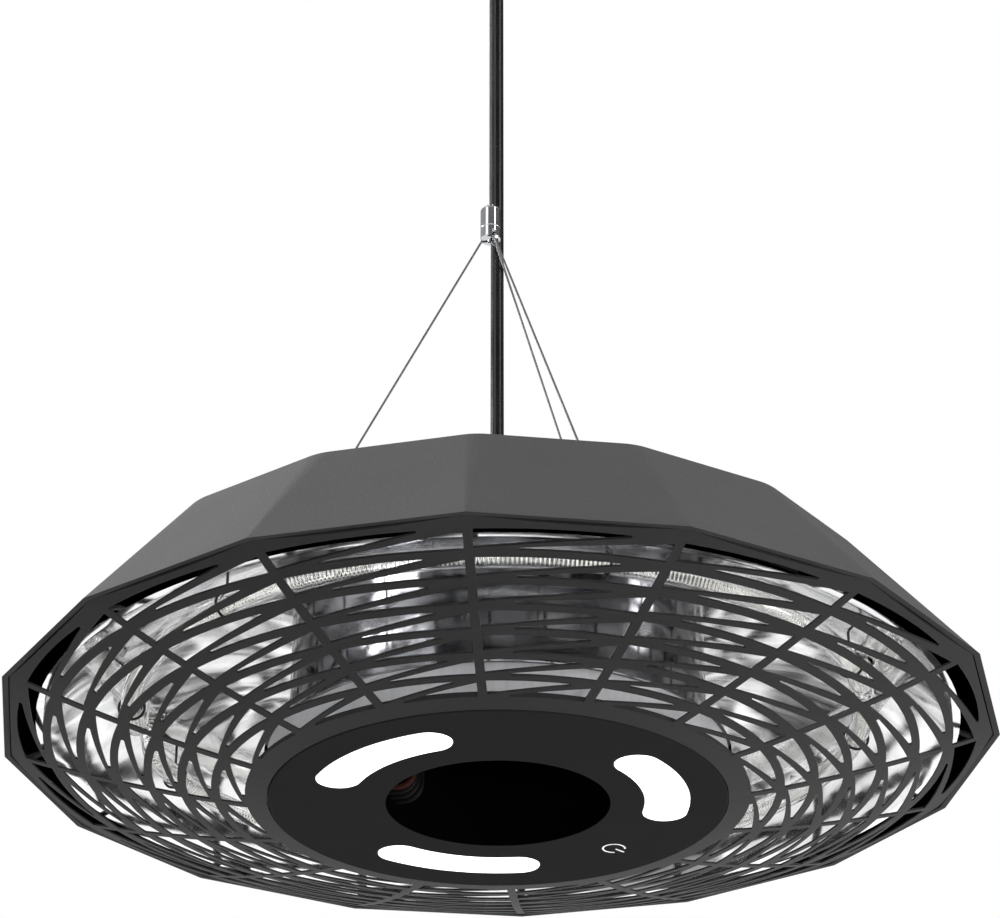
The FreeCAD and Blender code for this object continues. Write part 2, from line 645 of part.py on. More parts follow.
def make_leads():
    """Sleeved leads that come down the well's wall and leave through its slot."""
    radius, bend, ring = size("lead_radius"), size("lead_bend"), size("lead_ring")
    low, high = size("-lead_low"), size("well_top")
    away = size("well_radius + 2*well_wall + 2*seat_gap")
    leads = []
    for index in range(round(size("lead_count"))):
        heading = math.radians(size(lead_heading(index)))
        out = Vector(math.cos(heading), math.sin(heading), 0)
        up = Vector(0, 0, 1)
        points = [out * ring + up * high, out * ring + up * (low + bend), out * (ring + bend) + up * low,
                  out * away + up * low]
        turn = out * (ring + bend) + up * (low + bend) - (out + up) * (bend * math.sqrt(0.5))
        leads.append(tube_shape(points, {1: turn}, radius))
    item = node("well_leads", doc.addObject("Part::Feature", "well_leads"))
    item.Shape = Part.Compound(leads)
    hang(item)


def make_electronics():
    """Control board on its posts, relays, touch and mains parts."""
    turn = "lamp_angle + 180"
    shelf = SHELF_TOP
    middle = "((control_inner + control_outer)/2)"
    post_angles = ["-control_span/3", "0", "control_span/3"]

    body = new_body("control_posts")
    posts = sketch_on(body, lift=shelf)
    for angle in post_angles:
        circle(posts, "control_post", f"{middle}*cos({angle})", f"{middle}*sin({angle})")
    pad(body, posts, "control_lift")
    hang(body, turn=turn)

    body = new_body("control_board")

    def corner(radius, sign):
        return f"{radius}*cos(control_span/2)", f"{sign}{radius}*sin(control_span/2)"

    board = outline(sketch_on(body, lift=f"{shelf} + control_lift"),
                    [corner("control_inner", "-"), corner("control_outer", "-"), corner("control_outer", ""),
                     corner("control_inner", "")],
                    {1: ("control_outer", 1), 3: ("control_inner", -1)})
    pad(body, board, "board_wall")
    hang(body, turn=turn)

    body = new_body("control_relays")
    relays = sketch_on(body, lift=f"{shelf} + control_lift + board_wall")
    for sign in ("-", ""):
        side = f"{sign}(control_span/6)"
        x, y = f"({middle}*cos({side}))", f"({middle}*sin({side}))"
        rectangle(relays, f"{x} - relay_side/2", f"{y} - relay_side/2", f"{x} + relay_side/2",
                  f"{y} + relay_side/2")
    pad(body, relays, "relay_height")
    hang(body, turn=turn)

    body = new_body("thermal_cutout")
    pad(body, circle(sketch_on(body, lift="drum_top + reflector_sheet"), "cutout_radius", "cutout_ring"),
        "cutout_height")
    hang(body, turn="lug_angle")

    body = new_body("terminal_block")
    block = sketch_on(body, lift="shade_height - terminal_height")
    rectangle(block, "-terminal_offset - terminal_width/2", "-terminal_length/2",
              "-terminal_offset + terminal_width/2", "terminal_length/2")
    pad(body, block, "terminal_height")
    hang(body)


# Heating tubes, reflector and their clips.


def tube_ends():
    """Plan places of the four upright tube ends, as expressions."""
    places = []
    for half in (0, 180):
        for edge, way in (("tube_clear", 1), ("(180 - tube_clear)", -1)):
            heading = f"(tube_parting + {half} + {edge})"
            x = f"({TUBE_RING}*cos({heading}) + {way}*tube_bend*sin({heading}))"
            y = f"({TUBE_RING}*sin({heading}) - {way}*tube_bend*cos({heading}))"
            places.append((x, y))
    return places


def make_reflector():
    """Polished ring-shaped reflector with holes for the tube ends."""
    body = new_body("reflector")
    sheet_over = f"({REFLECTOR_CURVE} + reflector_sheet)"
    inner = "(drum_radius - drum_flange)"
    top = "(drum_top + reflector_sheet)"
    edge_top = "(reflector_edge + reflector_sheet)"
    lip_start = f"({REFLECTOR_RADIUS} - reflector_lip)"
    lip_over = f"(reflector_flat + sqrt({sheet_over}^2 - ({REFLECTOR_CURVE} - {REFLECTOR_DROP} + reflector_sheet)^2))"
    revolve(body,
            [(inner, "drum_top"), ("reflector_flat", "drum_top"), (lip_start, "reflector_edge"),
             (REFLECTOR_RADIUS, "reflector_edge"), (REFLECTOR_RADIUS, edge_top), (lip_over, edge_top),
             ("reflector_flat", top), (inner, top)],
            {1: (REFLECTOR_CURVE, -1), 5: (sheet_over, 1)})
    holes = sketch_on(body, lift="shade_height")
    for x, y in tube_ends():
        circle(holes, "tube_radius + 4*seat_gap", x, y)
    pocket(body, holes)
    hang(body)


CAP_BASE = f"({reflector_under(f'({TUBE_RING} - cap_radius)')} + reflector_sheet + 2*seat_gap)"
CAP_FLOOR = f"({CAP_BASE} + cap_depth)"


def half_ring(half, radius, top):
    """Sweep one half of the tube ring, with both ends turned up to the height top."""
    ring, bend, low = size(TUBE_RING), size("tube_bend"), size("tube_height")
    up = Vector(0, 0, 1)
    clear = size("tube_clear")
    headings = [math.radians(size("tube_parting") + half + angle) for angle in (clear, 90, 180 - clear)]
    spots = [Vector(ring * math.cos(a), ring * math.sin(a), low) for a in headings]
    onward = [Vector(-math.sin(a), math.cos(a), 0) for a in headings]
    first, last = spots[0] - onward[0] * bend, spots[2] + onward[2] * bend
    rise = up * (top - low)
    slant = bend * math.sqrt(0.5)
    points = [first + rise, first + up * bend, spots[0], spots[2], last + up * bend, last + rise]
    bends = {1: spots[0] + up * bend - (onward[0] + up) * slant,
             2: spots[1],
             3: spots[2] + up * bend + (onward[2] - up) * slant}
    return tube_shape(points, bends, radius)


def make_tubes():
    """Two half-ring quartz tubes, their filaments and ceramic ends."""
    outer, bore = size("tube_radius"), size("tube_radius - tube_wall")
    top = size(CAP_FLOOR)
    item = node("quartz_tubes", doc.addObject("Part::Feature", "quartz_tubes"))
    item.Shape = Part.Compound([half_ring(half, outer, top).cut(half_ring(half, bore, top)) for half in (0, 180)])
    hang(item)
    item = node("filaments", doc.addObject("Part::Feature", "filaments"))
    item.Shape = Part.Compound([half_ring(half, size("coil_radius"), top) for half in (0, 180)])
    hang(item)

    body = new_body("tube_caps")
    caps = sketch_on(body, lift=CAP_BASE)
    for x, y in tube_ends():
        circle(caps, "cap_radius", x, y)
    pad(body, caps, "cap_height")
    bores = sketch_on(body, lift=CAP_FLOOR)
    for x, y in tube_ends():
        circle(bores, "tube_radius + seat_gap/2", x, y)
    pocket(body, bores, "cap_depth")
    hang(body)


def make_tube_clips():
    """Wire clips that loop round the tubes and stand off the reflector."""
    loop = "(tube_radius + seat_gap + clip_wire)"
    base = f"(tube_height + tube_radius + seat_gap + clip_wire)"
    headings = [f"(tube_parting + {half} + {angle})" for half in (0, 180)
                for angle in ("clip_near", "clip_first", "clip_second", "(180 - clip_near)")]
    clips = []
    for heading in headings:
        x, y = f"{TUBE_RING}*cos({heading})", f"{TUBE_RING}*sin({heading})"
        ring = doc.addObject("Part::Torus", "clip_ring")
        leg = doc.addObject("Part::Cylinder", "clip_leg")
        ring.setExpression("Radius1", bind(loop))
        ring.setExpression("Radius2", bind("clip_wire"))
        leg.setExpression("Radius", bind("clip_wire"))
        leg.setExpression("Height", bind(f"{reflector_under(f'({TUBE_RING} + clip_wire)')} - {base}"))
        for item, height in ((ring, "tube_height"), (leg, base)):
            place(item, x, y, f"{height} - rim_drop", heading)
        upright = Rotation(Vector(1, 0, 0), 90)
        ring.setExpression("Placement.Rotation.Angle", None)
        ring.Placement.Rotation = Rotation(Vector(0, 0, 1), size(heading)).multiply(upright)
        clip = doc.addObject("Part::Fuse", "clip")
        clip.Base, clip.Tool = ring, leg
        clips.append(clip)
    group = node("tube_clips", doc.addObject("Part::Compound", "tube_clips"))
    group.Links = clips


# Top plate and what it carries.


def lug_places():
    """Plan places of the three eyebolts, as expressions."""
    return [(f"(lug_ring*cos(lug_angle + {i}*120))", f"(lug_ring*sin(lug_angle + {i}*120))") for i in range(3)]


def ring_places(count, ring):
    """Plan places spread evenly round the axis, as expressions."""
    steps = range(round(size(count)))
    return [(f"({ring}*cos({i}*360/{count}))", f"({ring}*sin({i}*360/{count}))") for i in steps]


PLATE_SCREW_RING = "(crown_opening + plate_lap/2)"


def make_top_plate():
    """Round top plate with holes for the screws, eyebolts and cable gland."""
    body = new_body("top_plate")
    pad(body, circle(sketch_on(body, lift="shade_height"), "crown_opening + plate_lap"), "plate_wall")
    holes = sketch_on(body, lift=PLATE_TOP)
    for x, y in ring_places("plate_screws", PLATE_SCREW_RING) + ring_places("post_count", "post_ring"):
        circle(holes, "screw_radius + screw_play", x, y)
    for x, y in lug_places():
        circle(holes, "screw_radius + screw_play", x, y)
    circle(holes, "gland_thread + screw_play", "cord_x", "cord_y")
    pocket(body, holes, "plate_wall")
    hang(body)

    for label, count, ring in (("plate_screws", "plate_screws", PLATE_SCREW_RING),
                               ("post_screws", "post_count", "post_ring")):
        body = new_body(label)
        shank = circle(sketch_on(body, lift=f"{PLATE_TOP} - screw_length"), "screw_radius", ring)
        head = circle(sketch_on(body, lift=PLATE_TOP), "screw_head", ring)
        around(body, [pad(body, shank, "screw_length"), pad(body, head, "screw_crown")], count)
        hang(body)

    body = new_body("support_posts")
    posts = sketch_on(body, lift="drum_top + reflector_sheet")
    for x, y in ring_places("post_count", "post_ring"):
        circle(posts, "post_radius", x, y)
    pad(body, posts, "shade_height - drum_top - reflector_sheet")
    bores = sketch_on(body, lift="shade_height")
    for x, y in ring_places("post_count", "post_ring"):
        circle(bores, "screw_radius + screw_play", x, y)
    pocket(body, bores, "screw_length")
    hang(body)


def make_gland():
    """Cable gland with its lock nut and tapered bend relief."""
    bore = "(cord_radius + cord_play)"
    body = new_body("cable_gland")
    pad(body, polygon(sketch_on(body, lift=PLATE_TOP), "gland_radius", "6"), "gland_hex")
    pad(body, circle(sketch_on(body, lift=f"{PLATE_TOP} + gland_hex"), "gland_dome"), "gland_height - gland_hex")
    pad(body, circle(sketch_on(body, lift=f"{PLATE_TOP} - gland_length"), "gland_thread"), "gland_length")
    pocket(body, circle(sketch_on(body, lift=f"{PLATE_TOP} + gland_height"), bore))
    hang(body, "cord_x", "cord_y")

    body = new_body("gland_nut")
    nut = sketch_on(body, lift="shade_height - gland_hex")
    polygon(nut, "gland_radius", "6")
    circle(nut, "gland_thread + crimp_play")
    pad(body, nut, "gland_hex")
    hang(body, "cord_x", "cord_y")

    body = new_body("cord_relief")
    base = f"({PLATE_TOP} + gland_height)"
    revolve(body, [(bore, base), ("gland_dome", base), ("gland_dome", f"{base} + gland_hex/2"),
                   (f"{bore} + relief_wall", f"{base} + relief_length"), (bore, f"{base} + relief_length")])
    hang(body, "cord_x", "cord_y")


# Bridle: eyebolts on the top plate, looped wires and the gripper they hang from.

LUG_MIDDLE = f"({PLATE_TOP} + lug_collar + lug_eye)"
HOOK_HEIGHT = "(grip_base + hook_depth/2)"
LOOP_PLAY = "(bridle_loop - bridle_wire - lug_wire - crimp_play)"
LOOP_MIDDLE = f"(lug_eye + sqrt({LOOP_PLAY}^2 - bridle_pair^2))"
LOOP_NECK = f"({LOOP_MIDDLE} + sqrt((bridle_loop + neck_bend)^2 - (bridle_pair + neck_bend)^2))"


def bridle_line(index):
    """Eyebolt's middle, sideways and upward directions and length of one bridle wire's line."""
    x, y = (size(text) for text in lug_places()[index])
    eye = Vector(x, y, size(LUG_MIDDLE))
    hook = Vector(size("hang_x"), 0, size(HOOK_HEIGHT))
    out = Vector(eye.x - hook.x, eye.y - hook.y, 0).normalize()
    run = hook + out * size("grip_hook") - eye
    length = run.Length
    return eye, Vector(-out.y, out.x, 0), run.normalize(), length


def looped_wire(index):
    """Sweep one bridle wire: tail in the sleeve, loop through the eyebolt, then up to the gripper."""
    eye, aside, onward, length = bridle_line(index)
    pair, loop, bend = size("bridle_pair"), size("bridle_loop"), size("neck_bend")
    middle, neck = size(LOOP_MIDDLE), size(LOOP_NECK)
    share = loop/(loop + bend)
    half_turn = math.atan2(neck - middle, pair + bend)/2

    def spot(side, up):
        return eye + aside * (pair + side) + onward * up

    def neck_middle(sign):
        return spot(sign*(pair + bend - bend*math.cos(half_turn)), neck - bend*math.sin(half_turn))

    meet = (share*(pair + bend), middle + share*(neck - middle))
    points = [spot(pair, neck + size("sleeve_length")), spot(pair, neck), spot(*meet), spot(-meet[0], meet[1]),
              spot(-pair, neck), spot(-pair, length)]
    return tube_shape(points, {1: neck_middle(1), 2: spot(0, middle - loop), 3: neck_middle(-1)},
                      size("bridle_wire"))


def crimp_sleeve(index):
    """Sleeve round a bridle wire and its tail, with a bore for each."""
    eye, aside, onward, _ = bridle_line(index)
    pair, length = size("bridle_pair"), size("sleeve_length")
    start = eye + onward * size(LOOP_NECK)
    bores = [Part.makeCylinder(size("bridle_wire + crimp_play"), length, start + aside * offset, onward)
             for offset in (0, 2*pair)]
    return Part.makeCylinder(size("sleeve_radius"), length, start + aside * pair, onward).cut(bores)


def make_bridle():
    """Three wires with looped lower ends, their crimp sleeves, eyebolts and nuts."""
    for label, shape in (("bridle_wires", looped_wire), ("crimp_sleeves", crimp_sleeve)):
        item = node(label, doc.addObject("Part::Feature", label))
        item.Shape = Part.Compound([shape(index) for index in range(3)])
        hang(item)

    body = new_body("bridle_lugs")
    shank = pad(body, circle(sketch_on(body, lift=f"{PLATE_TOP} - lug_shank"), "screw_radius", "lug_ring"),
                "lug_shank")
    collar = pad(body, circle(sketch_on(body, lift=PLATE_TOP), "lug_collar_radius", "lug_ring"), "lug_collar")
    eye = body.newObject("PartDesign::AdditiveTorus", "lug_eye")
    eye.AttachmentSupport = [(origin_part(body, "XZ_Plane"), "")]
    eye.MapMode = "FlatFace"
    eye.setExpression("AttachmentOffset.Base.x", bind("lug_ring"))
    eye.setExpression("AttachmentOffset.Base.y", bind(LUG_MIDDLE))
    eye.setExpression("Radius1", bind("lug_eye"))
    eye.setExpression("Radius2", bind("lug_wire"))
    around(body, [shank, collar, eye], "3")
    hang(body, turn="lug_angle")

    body = new_body("lug_nuts")
    nut = sketch_on(body, lift="shade_height - nut_height")
    polygon(nut, "nut_radius", "6", "lug_ring")
    circle(nut, "screw_radius + crimp_play", "lug_ring")
    around(body, [pad(body, nut, "nut_height")], "3")
    hang(body, turn="lug_angle")


GRIP_SEAT = "(grip_base + collar_height)"
GRIP_TOP = f"({GRIP_SEAT} + grip_height)"


def make_gripper():
    """Wire gripper: body, slotted collar and the nozzle that is pressed to free the wire."""
    bore = "(wire_radius + wire_play)"
    well = f"({GRIP_TOP} - nozzle_depth - nozzle_travel - seat_gap)"
    well_radius = "(nozzle_radius + seat_gap)"
    body = new_body("gripper_body")
    revolve(body, [(bore, GRIP_SEAT), ("grip_radius", GRIP_SEAT), ("grip_radius", f"{GRIP_TOP} - grip_shoulder"),
                   ("grip_radius - grip_shoulder", GRIP_TOP), (well_radius, GRIP_TOP), (well_radius, well),
                   (bore, well)])
    hang(body, "hang_x")

    body = new_body("gripper_collar")
    hollow = "(stop_radius + stop_play)"
    revolve(body, [(hollow, "grip_base"), ("grip_radius - grip_shoulder/2", "grip_base"),
                   ("grip_radius", "grip_base + grip_shoulder/2"), ("grip_radius", GRIP_SEAT),
                   (hollow, GRIP_SEAT)])
    slot = sketch_on(body, lift="grip_base + hook_depth")
    rectangle(slot, "0", "-hook_slot/2", "2*grip_radius", "hook_slot/2")
    around(body, [pocket(body, slot, "hook_depth")], "3")
    hang(body, "hang_x", turn="lug_angle")

    body = new_body("gripper_nozzle")
    revolve(body, [(bore, f"{GRIP_TOP} - nozzle_depth"), ("nozzle_radius", f"{GRIP_TOP} - nozzle_depth"),
                   ("nozzle_radius", f"{GRIP_TOP} + nozzle_height"), (bore, f"{GRIP_TOP} + nozzle_height")])
    hang(body, "hang_x")


def make_hanging_wire():
    """Hanging wire with its end stop below and its ball above."""
    low = f"({GRIP_SEAT} - seat_gap - stop_length - rim_drop)"
    wire = node("hanging_wire", doc.addObject("Part::Cylinder", "hanging_wire"))
    wire.setExpression("Radius", bind("wire_radius"))
    wire.setExpression("Height", bind(f"-ball_drop - {low}"))
    place(wire, "hang_x", z=low)

    hole = "(wire_radius + crimp_play)"
    body = new_body("wire_stop")
    revolve(body, [(hole, low), ("stop_radius", low), ("stop_radius", f"{low} + stop_length"),
                   (hole, f"{low} + stop_length")])
    place(body, "hang_x")

    body = new_body("wire_ball")
    reach = f"sqrt(ball_radius^2 - {hole}^2)"
    revolve(body, [(hole, f"-ball_drop - {reach}"), (hole, f"-ball_drop + {reach}")], {0: ("ball_radius", 1)})
    place(body, "hang_x")


def make_cord():
    """Straight power cord from the ceiling bush into the heater."""
    low = "(shade_height - cord_tail - rim_drop)"
    cord = node("power_cord", doc.addObject("Part::Cylinder", "power_cord"))
    cord.setExpression("Radius", bind("cord_radius"))
    cord.setExpression("Height", bind(f"-cord_head - {low}"))
    place(cord, "cord_x", "cord_y", low)


# Ceiling fitting.


def make_ceiling_fitting():
    """Ceiling plate with ears, cover with its outlet, ball socket, cord bush and cover screws."""
    body = new_body("ceiling_plate")
    pad(body, circle(sketch_on(body, lift="-canopy_plate"), "canopy_radius"), "canopy_plate")
    ears = sketch_on(body, lift="-canopy_plate - ear_height")
    ear_out = "(canopy_radius + canopy_play - seat_gap)"
    for sign in ("-", ""):
        rectangle(ears, "-ear_width/2", f"{sign}{ear_out}", "ear_width/2", f"{sign}({ear_out} - ear_wall)")
    pad(body, ears, "ear_height + canopy_plate")
    holes = sketch_on(body)
    for sign in ("-", ""):
        circle(holes, "fixing_radius", f"{sign}fixing_spacing/2")
    circle(holes, "entry_radius", "0", "entry_y")
    pocket(body, holes, "canopy_plate")
    drills = sketch_on(body, "XZ_Plane", lift="2*canopy_radius")
    ear_middle = "(-canopy_plate - ear_height/2)"
    circle(drills, "ear_screw + screw_play", "0", ear_middle)
    pocket(body, drills)

    body = new_body("ceiling_cover")
    inner = "(canopy_radius + canopy_play)"
    outer = f"({inner} + canopy_wall)"
    inner_round = "(canopy_round - canopy_wall)"
    revolve(body,
            [("0", "-canopy_depth"), (f"{outer} - canopy_round", "-canopy_depth"),
             (outer, "-canopy_depth + canopy_round"), (outer, "-seat_gap"), (inner, "-seat_gap"),
             (inner, "-canopy_depth + canopy_round"), (f"{outer} - canopy_round", "-canopy_depth + canopy_wall"),
             ("0", "-canopy_depth + canopy_wall")],
            {1: ("canopy_round", 1), 5: (inner_round, -1)})
    pocket(body, circle(sketch_on(body), "outlet_radius", "0", "outlet_y"))
    drills = sketch_on(body, "XZ_Plane", lift="2*canopy_radius")
    circle(drills, "ear_screw + screw_play", "0", ear_middle)
    pocket(body, drills)

    body = new_body("cover_screws")
    shank_start = f"({outer} - canopy_wall - ear_wall - canopy_play)"
    shank = sketch_on(body, "XZ_Plane", lift=shank_start)
    circle(shank, "ear_screw", "0", ear_middle)
    head = sketch_on(body, "XZ_Plane", lift=f"{outer} + crimp_play")
    circle(head, "ear_screw_head", "0", ear_middle)
    shank_pad = pad(body, shank, f"{outer} + crimp_play - {shank_start}")
    around(body, [shank_pad, pad(body, head, "canopy_plate")], "2")

    body = new_body("ball_socket")
    seat = "(ball_radius + seat_gap)"
    mouth = f"(-ball_drop - sqrt({seat}^2 - socket_mouth^2))"
    foot = "(-ball_drop - socket_length)"
    revolve(body,
            [(seat, "-canopy_plate"), (seat, "-ball_drop"), ("socket_mouth", mouth), ("socket_flare", foot),
             ("socket_radius", foot), ("socket_radius", "-canopy_plate")],
            {1: (seat, -1)})
    place(body, "hang_x")

    body = new_body("cord_bush")
    revolve(body, [("bush_bore", "-bush_drop"), ("bush_radius", "-bush_drop"), ("bush_radius", "-canopy_plate"),
                   ("bush_bore", "-canopy_plate")])
    place(body, "cord_x", "cord_y")


def check_and_write():
    """Stop on any failed object or bad solid, then write each sub-part."""
    doc.recompute()
    for item in doc.Objects:
        if "Invalid" in item.State or "Error" in item.State:
            raise RuntimeError(f"{item.Name} failed: {item.State}")
    for label, item in nodes.items():
        if item.Shape.isNull() or not item.Shape.isValid() or not item.Shape.Solids:
            raise RuntimeError(f"{label} has no valid solid")
    os.makedirs("parts", exist_ok=True)
    for label, item in nodes.items():
        item.Shape.exportStep(f"parts/{label}.step")


make_shade()
make_grille()
make_rim_brackets()
make_panel()
make_carrier()
make_drum()
make_well()
make_leads()
make_electronics()
make_reflector()
make_tubes()
make_tube_clips()
make_top_plate()
make_gland()
make_bridle()
make_gripper()
make_hanging_wire()
make_cord()
make_ceiling_fitting()
check_and_write()
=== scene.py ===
"""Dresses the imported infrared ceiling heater: shade, grille, panel, heating ring, wires and fittings."""

import logging
import math
from dataclasses import dataclass
from enum import Enum
from typing import Callable, ClassVar, Protocol, Sequence

import bmesh
import bpy
from mathutils import Matrix, Vector


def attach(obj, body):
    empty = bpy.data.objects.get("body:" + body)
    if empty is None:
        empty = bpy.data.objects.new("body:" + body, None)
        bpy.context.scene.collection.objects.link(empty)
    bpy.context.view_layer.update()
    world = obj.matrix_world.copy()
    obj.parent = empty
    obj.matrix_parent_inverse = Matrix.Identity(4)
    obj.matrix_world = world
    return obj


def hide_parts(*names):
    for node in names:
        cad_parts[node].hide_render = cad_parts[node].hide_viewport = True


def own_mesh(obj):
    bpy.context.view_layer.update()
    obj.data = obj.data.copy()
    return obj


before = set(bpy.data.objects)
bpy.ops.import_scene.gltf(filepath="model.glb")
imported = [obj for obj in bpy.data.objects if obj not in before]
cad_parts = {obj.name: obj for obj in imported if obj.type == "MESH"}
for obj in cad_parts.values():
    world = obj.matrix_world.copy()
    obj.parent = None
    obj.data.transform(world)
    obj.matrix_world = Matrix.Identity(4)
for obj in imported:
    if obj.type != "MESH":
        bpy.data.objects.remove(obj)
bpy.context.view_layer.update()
LOG = logging.getLogger("ceiling_heater")

Colour = tuple[float, float, float]
Point = tuple[float, float, float]
Pairs = tuple[tuple[float, float], ...]

RIM = -0.670
HANG_X = -0.005
FLOOR = -2.4
WELD = 1e-6
CAD_WELD = 2e-6
FLAT_ANGLE = 0.2


class Body(str, Enum):
    """Moving bodies of the heater."""

    CEILING = "ceiling"
    SUSPENSION = "suspension"
    HEATER = "heater"
    NOZZLE = "nozzle"


def tone(code: str) -> Colour:
    """Turn a colour as seen on screen into the linear one that a shader takes.

    Args:
        code: Six hexadecimal digits.

    Returns:
        Red, green and blue in linear light.
    """
    shares = [int(code[i:i + 2], 16) / 255 for i in (0, 2, 4)]
    linear = [s / 12.92 if s <= 0.04045 else ((s + 0.055) / 1.055) ** 2.4 for s in shares]
    return linear[0], linear[1], linear[2]


def shaded(colour: Colour, factor: float) -> tuple[float, float, float, float]:
    """Give a colour made lighter or darker, with its alpha."""
    return tuple(min(1.0, part * factor) for part in colour) + (1.0,)


class NodeSheet:
    """The node graph of one material, with its shader ready."""

    def __init__(self, name: str) -> None:
        """Start a material of that name."""
        self.material = bpy.data.materials.new(name)
        self.material.use_nodes = True
        self.tree = self.material.node_tree
        self.shader = self.tree.nodes["Principled BSDF"]

    def add(self, kind: str, **settings: object) -> bpy.types.Node:
        """Add a node and set its properties.

        Args:
            kind: Blender's name of the node type.
            **settings: Properties of the node.

        Returns:
            The new node.
        """
        node = self.tree.nodes.new(kind)
        for name, value in settings.items():
            setattr(node, name, value)
        return node

    def join(self, source: bpy.types.NodeSocket, target: bpy.types.NodeSocket) -> None:
        """Link one socket to another."""
        self.tree.links.new(source, target)

    def fix(self, **sockets: object) -> None:
        """Set constants on the shader's own sockets, with _ for the blanks in their names."""
        for name, value in sockets.items():
            self.shader.inputs[name.replace("_", " ")].default_value = value

    def coordinates(self, scale: Point = (1, 1, 1), turn: Point = (0, 0, 0)) -> bpy.types.NodeSocket:
        """Give the piece's own coordinates, stretched and turned.

        Args:
            scale: Stretch along each axis.
            turn: Turn about each axis in degrees.

        Returns:
            The vector socket to read.
        """
        source = self.add("ShaderNodeTexCoord")
        mapping = self.add("ShaderNodeMapping")
        mapping.inputs["Scale"].default_value = scale
        mapping.inputs["Rotation"].default_value = [math.radians(angle) for angle in turn]
        self.join(source.outputs["Object"], mapping.inputs["Vector"])
        return mapping.outputs["Vector"]

    def polar(self) -> bpy.types.NodeSocket:
        """Give coordinates of angle, radius and height round the upright axis.

        Returns:
            A vector socket with the angle in radians, the radius and the height.
        """
        source = self.add("ShaderNodeTexCoord")
        parts = self.add("ShaderNodeSeparateXYZ")
        angle = self.add("ShaderNodeMath", operation="ARCTAN2")
        flat = self.add("ShaderNodeCombineXYZ")
        length = self.add("ShaderNodeVectorMath", operation="LENGTH")
        whole = self.add("ShaderNodeCombineXYZ")
        self.join(source.outputs["Object"], parts.inputs["Vector"])
        self.join(parts.outputs["Y"], angle.inputs[0])
        self.join(parts.outputs["X"], angle.inputs[1])
        self.join(parts.outputs["X"], flat.inputs["X"])
        self.join(parts.outputs["Y"], flat.inputs["Y"])
        self.join(flat.outputs["Vector"], length.inputs[0])
        self.join(angle.outputs["Value"], whole.inputs["X"])
        self.join(length.outputs["Value"], whole.inputs["Y"])
        self.join(parts.outputs["Z"], whole.inputs["Z"])
        return whole.outputs["Vector"]

    def stretched(self, vector: bpy.types.NodeSocket, scale: Point) -> bpy.types.NodeSocket:
        """Scale a vector socket along its three parts."""
        node = self.add("ShaderNodeVectorMath", operation="MULTIPLY")
        node.inputs[1].default_value = scale
        self.join(vector, node.inputs[0])
        return node.outputs["Vector"]

    def noise(self, vector: bpy.types.NodeSocket, scale: float, detail: float = 2.0,
              roughness: float = 0.5) -> bpy.types.NodeSocket:
        """Give a soft noise from 0 to 1.

        Args:
            vector: Coordinates to read.
            scale: Blotches to the metre.
            detail: Finer layers of noise.
            roughness: Strength of those layers.

        Returns:
            The noise's value socket.
        """
        node = self.add("ShaderNodeTexNoise")
        node.inputs["Scale"].default_value = scale
        node.inputs["Detail"].default_value = detail
        node.inputs["Roughness"].default_value = roughness
        self.join(vector, node.inputs["Vector"])
        return node.outputs["Fac"]

    def range(self, value: bpy.types.NodeSocket, low: float, high: float, start: float = 0.35,
              end: float = 0.65) -> bpy.types.NodeSocket:
        """Spread a value from one range to another.

        Args:
            value: Socket to read.
            low: Result at start.
            high: Result at end.
            start: Value that gives low.
            end: Value that gives high.

        Returns:
            The spread value's socket.
        """
        node = self.add("ShaderNodeMapRange")
        for name, number in (("From Min", start), ("From Max", end), ("To Min", low), ("To Max", high)):
            node.inputs[name].default_value = number
        self.join(value, node.inputs["Value"])
        return node.outputs["Result"]

    def tones(self, value: bpy.types.NodeSocket,
              stops: Sequence[tuple[float, Sequence[float]]]) -> bpy.types.NodeSocket:
        """Colour a value through a ramp.

        Args:
            value: Socket to read.
            stops: Places from 0 to 1 with their colours.

        Returns:
            The colour socket.
        """
        node = self.add("ShaderNodeValToRGB")
        ramp = node.color_ramp
        while len(ramp.elements) < len(stops):
            ramp.elements.new(0.5)
        for element, (place, colour) in zip(ramp.elements, stops):
            element.position = place
            element.color = colour
        self.join(value, node.inputs["Fac"])
        return node.outputs["Color"]

    def bump(self, heights: Sequence[tuple[bpy.types.NodeSocket, float]]) -> None:
        """Stack bumps on the shader's normal.

        Args:
            heights: Height sockets from 0 to 1, each with its depth in metres.
        """
        normal = None
        for height, depth in heights:
            node = self.add("ShaderNodeBump")
            node.inputs["Distance"].default_value = depth
            self.join(height, node.inputs["Height"])
            if normal is not None:
                self.join(normal, node.inputs["Normal"])
            normal = node.outputs["Normal"]
        self.join(normal, self.shader.inputs["Normal"])


class Finish(Protocol):
    """Anything that can make a material."""

    def material(self) -> bpy.types.Material:
        """Make the material."""


@dataclass(frozen=True)
class PowderCoat:
    """Baked powder paint with a fine grain and a slow drift of tone."""

    name: str
    colour: Colour
    roughness: float = 0.55
    grain: float = 900
    depth: float = 0.00006
    drift: float = 0.1
    specular: float = 0.4

    def material(self) -> bpy.types.Material:
        """Make the material."""
        sheet = NodeSheet(self.name)
        place = sheet.coordinates()
        slow = sheet.noise(place, 9, 3)
        fine = sheet.noise(place, self.grain, 2, 0.6)
        sheet.join(sheet.tones(slow, [(0.3, shaded(self.colour, 1 - self.drift)),
                                      (0.7, shaded(self.colour, 1 + self.drift))]),
                   sheet.shader.inputs["Base Color"])
        sheet.join(sheet.range(fine, self.roughness - 0.07, self.roughness + 0.07),
                   sheet.shader.inputs["Roughness"])
        sheet.fix(Specular_IOR_Level=self.specular)
        sheet.bump([(fine, self.depth)])
        return sheet.material


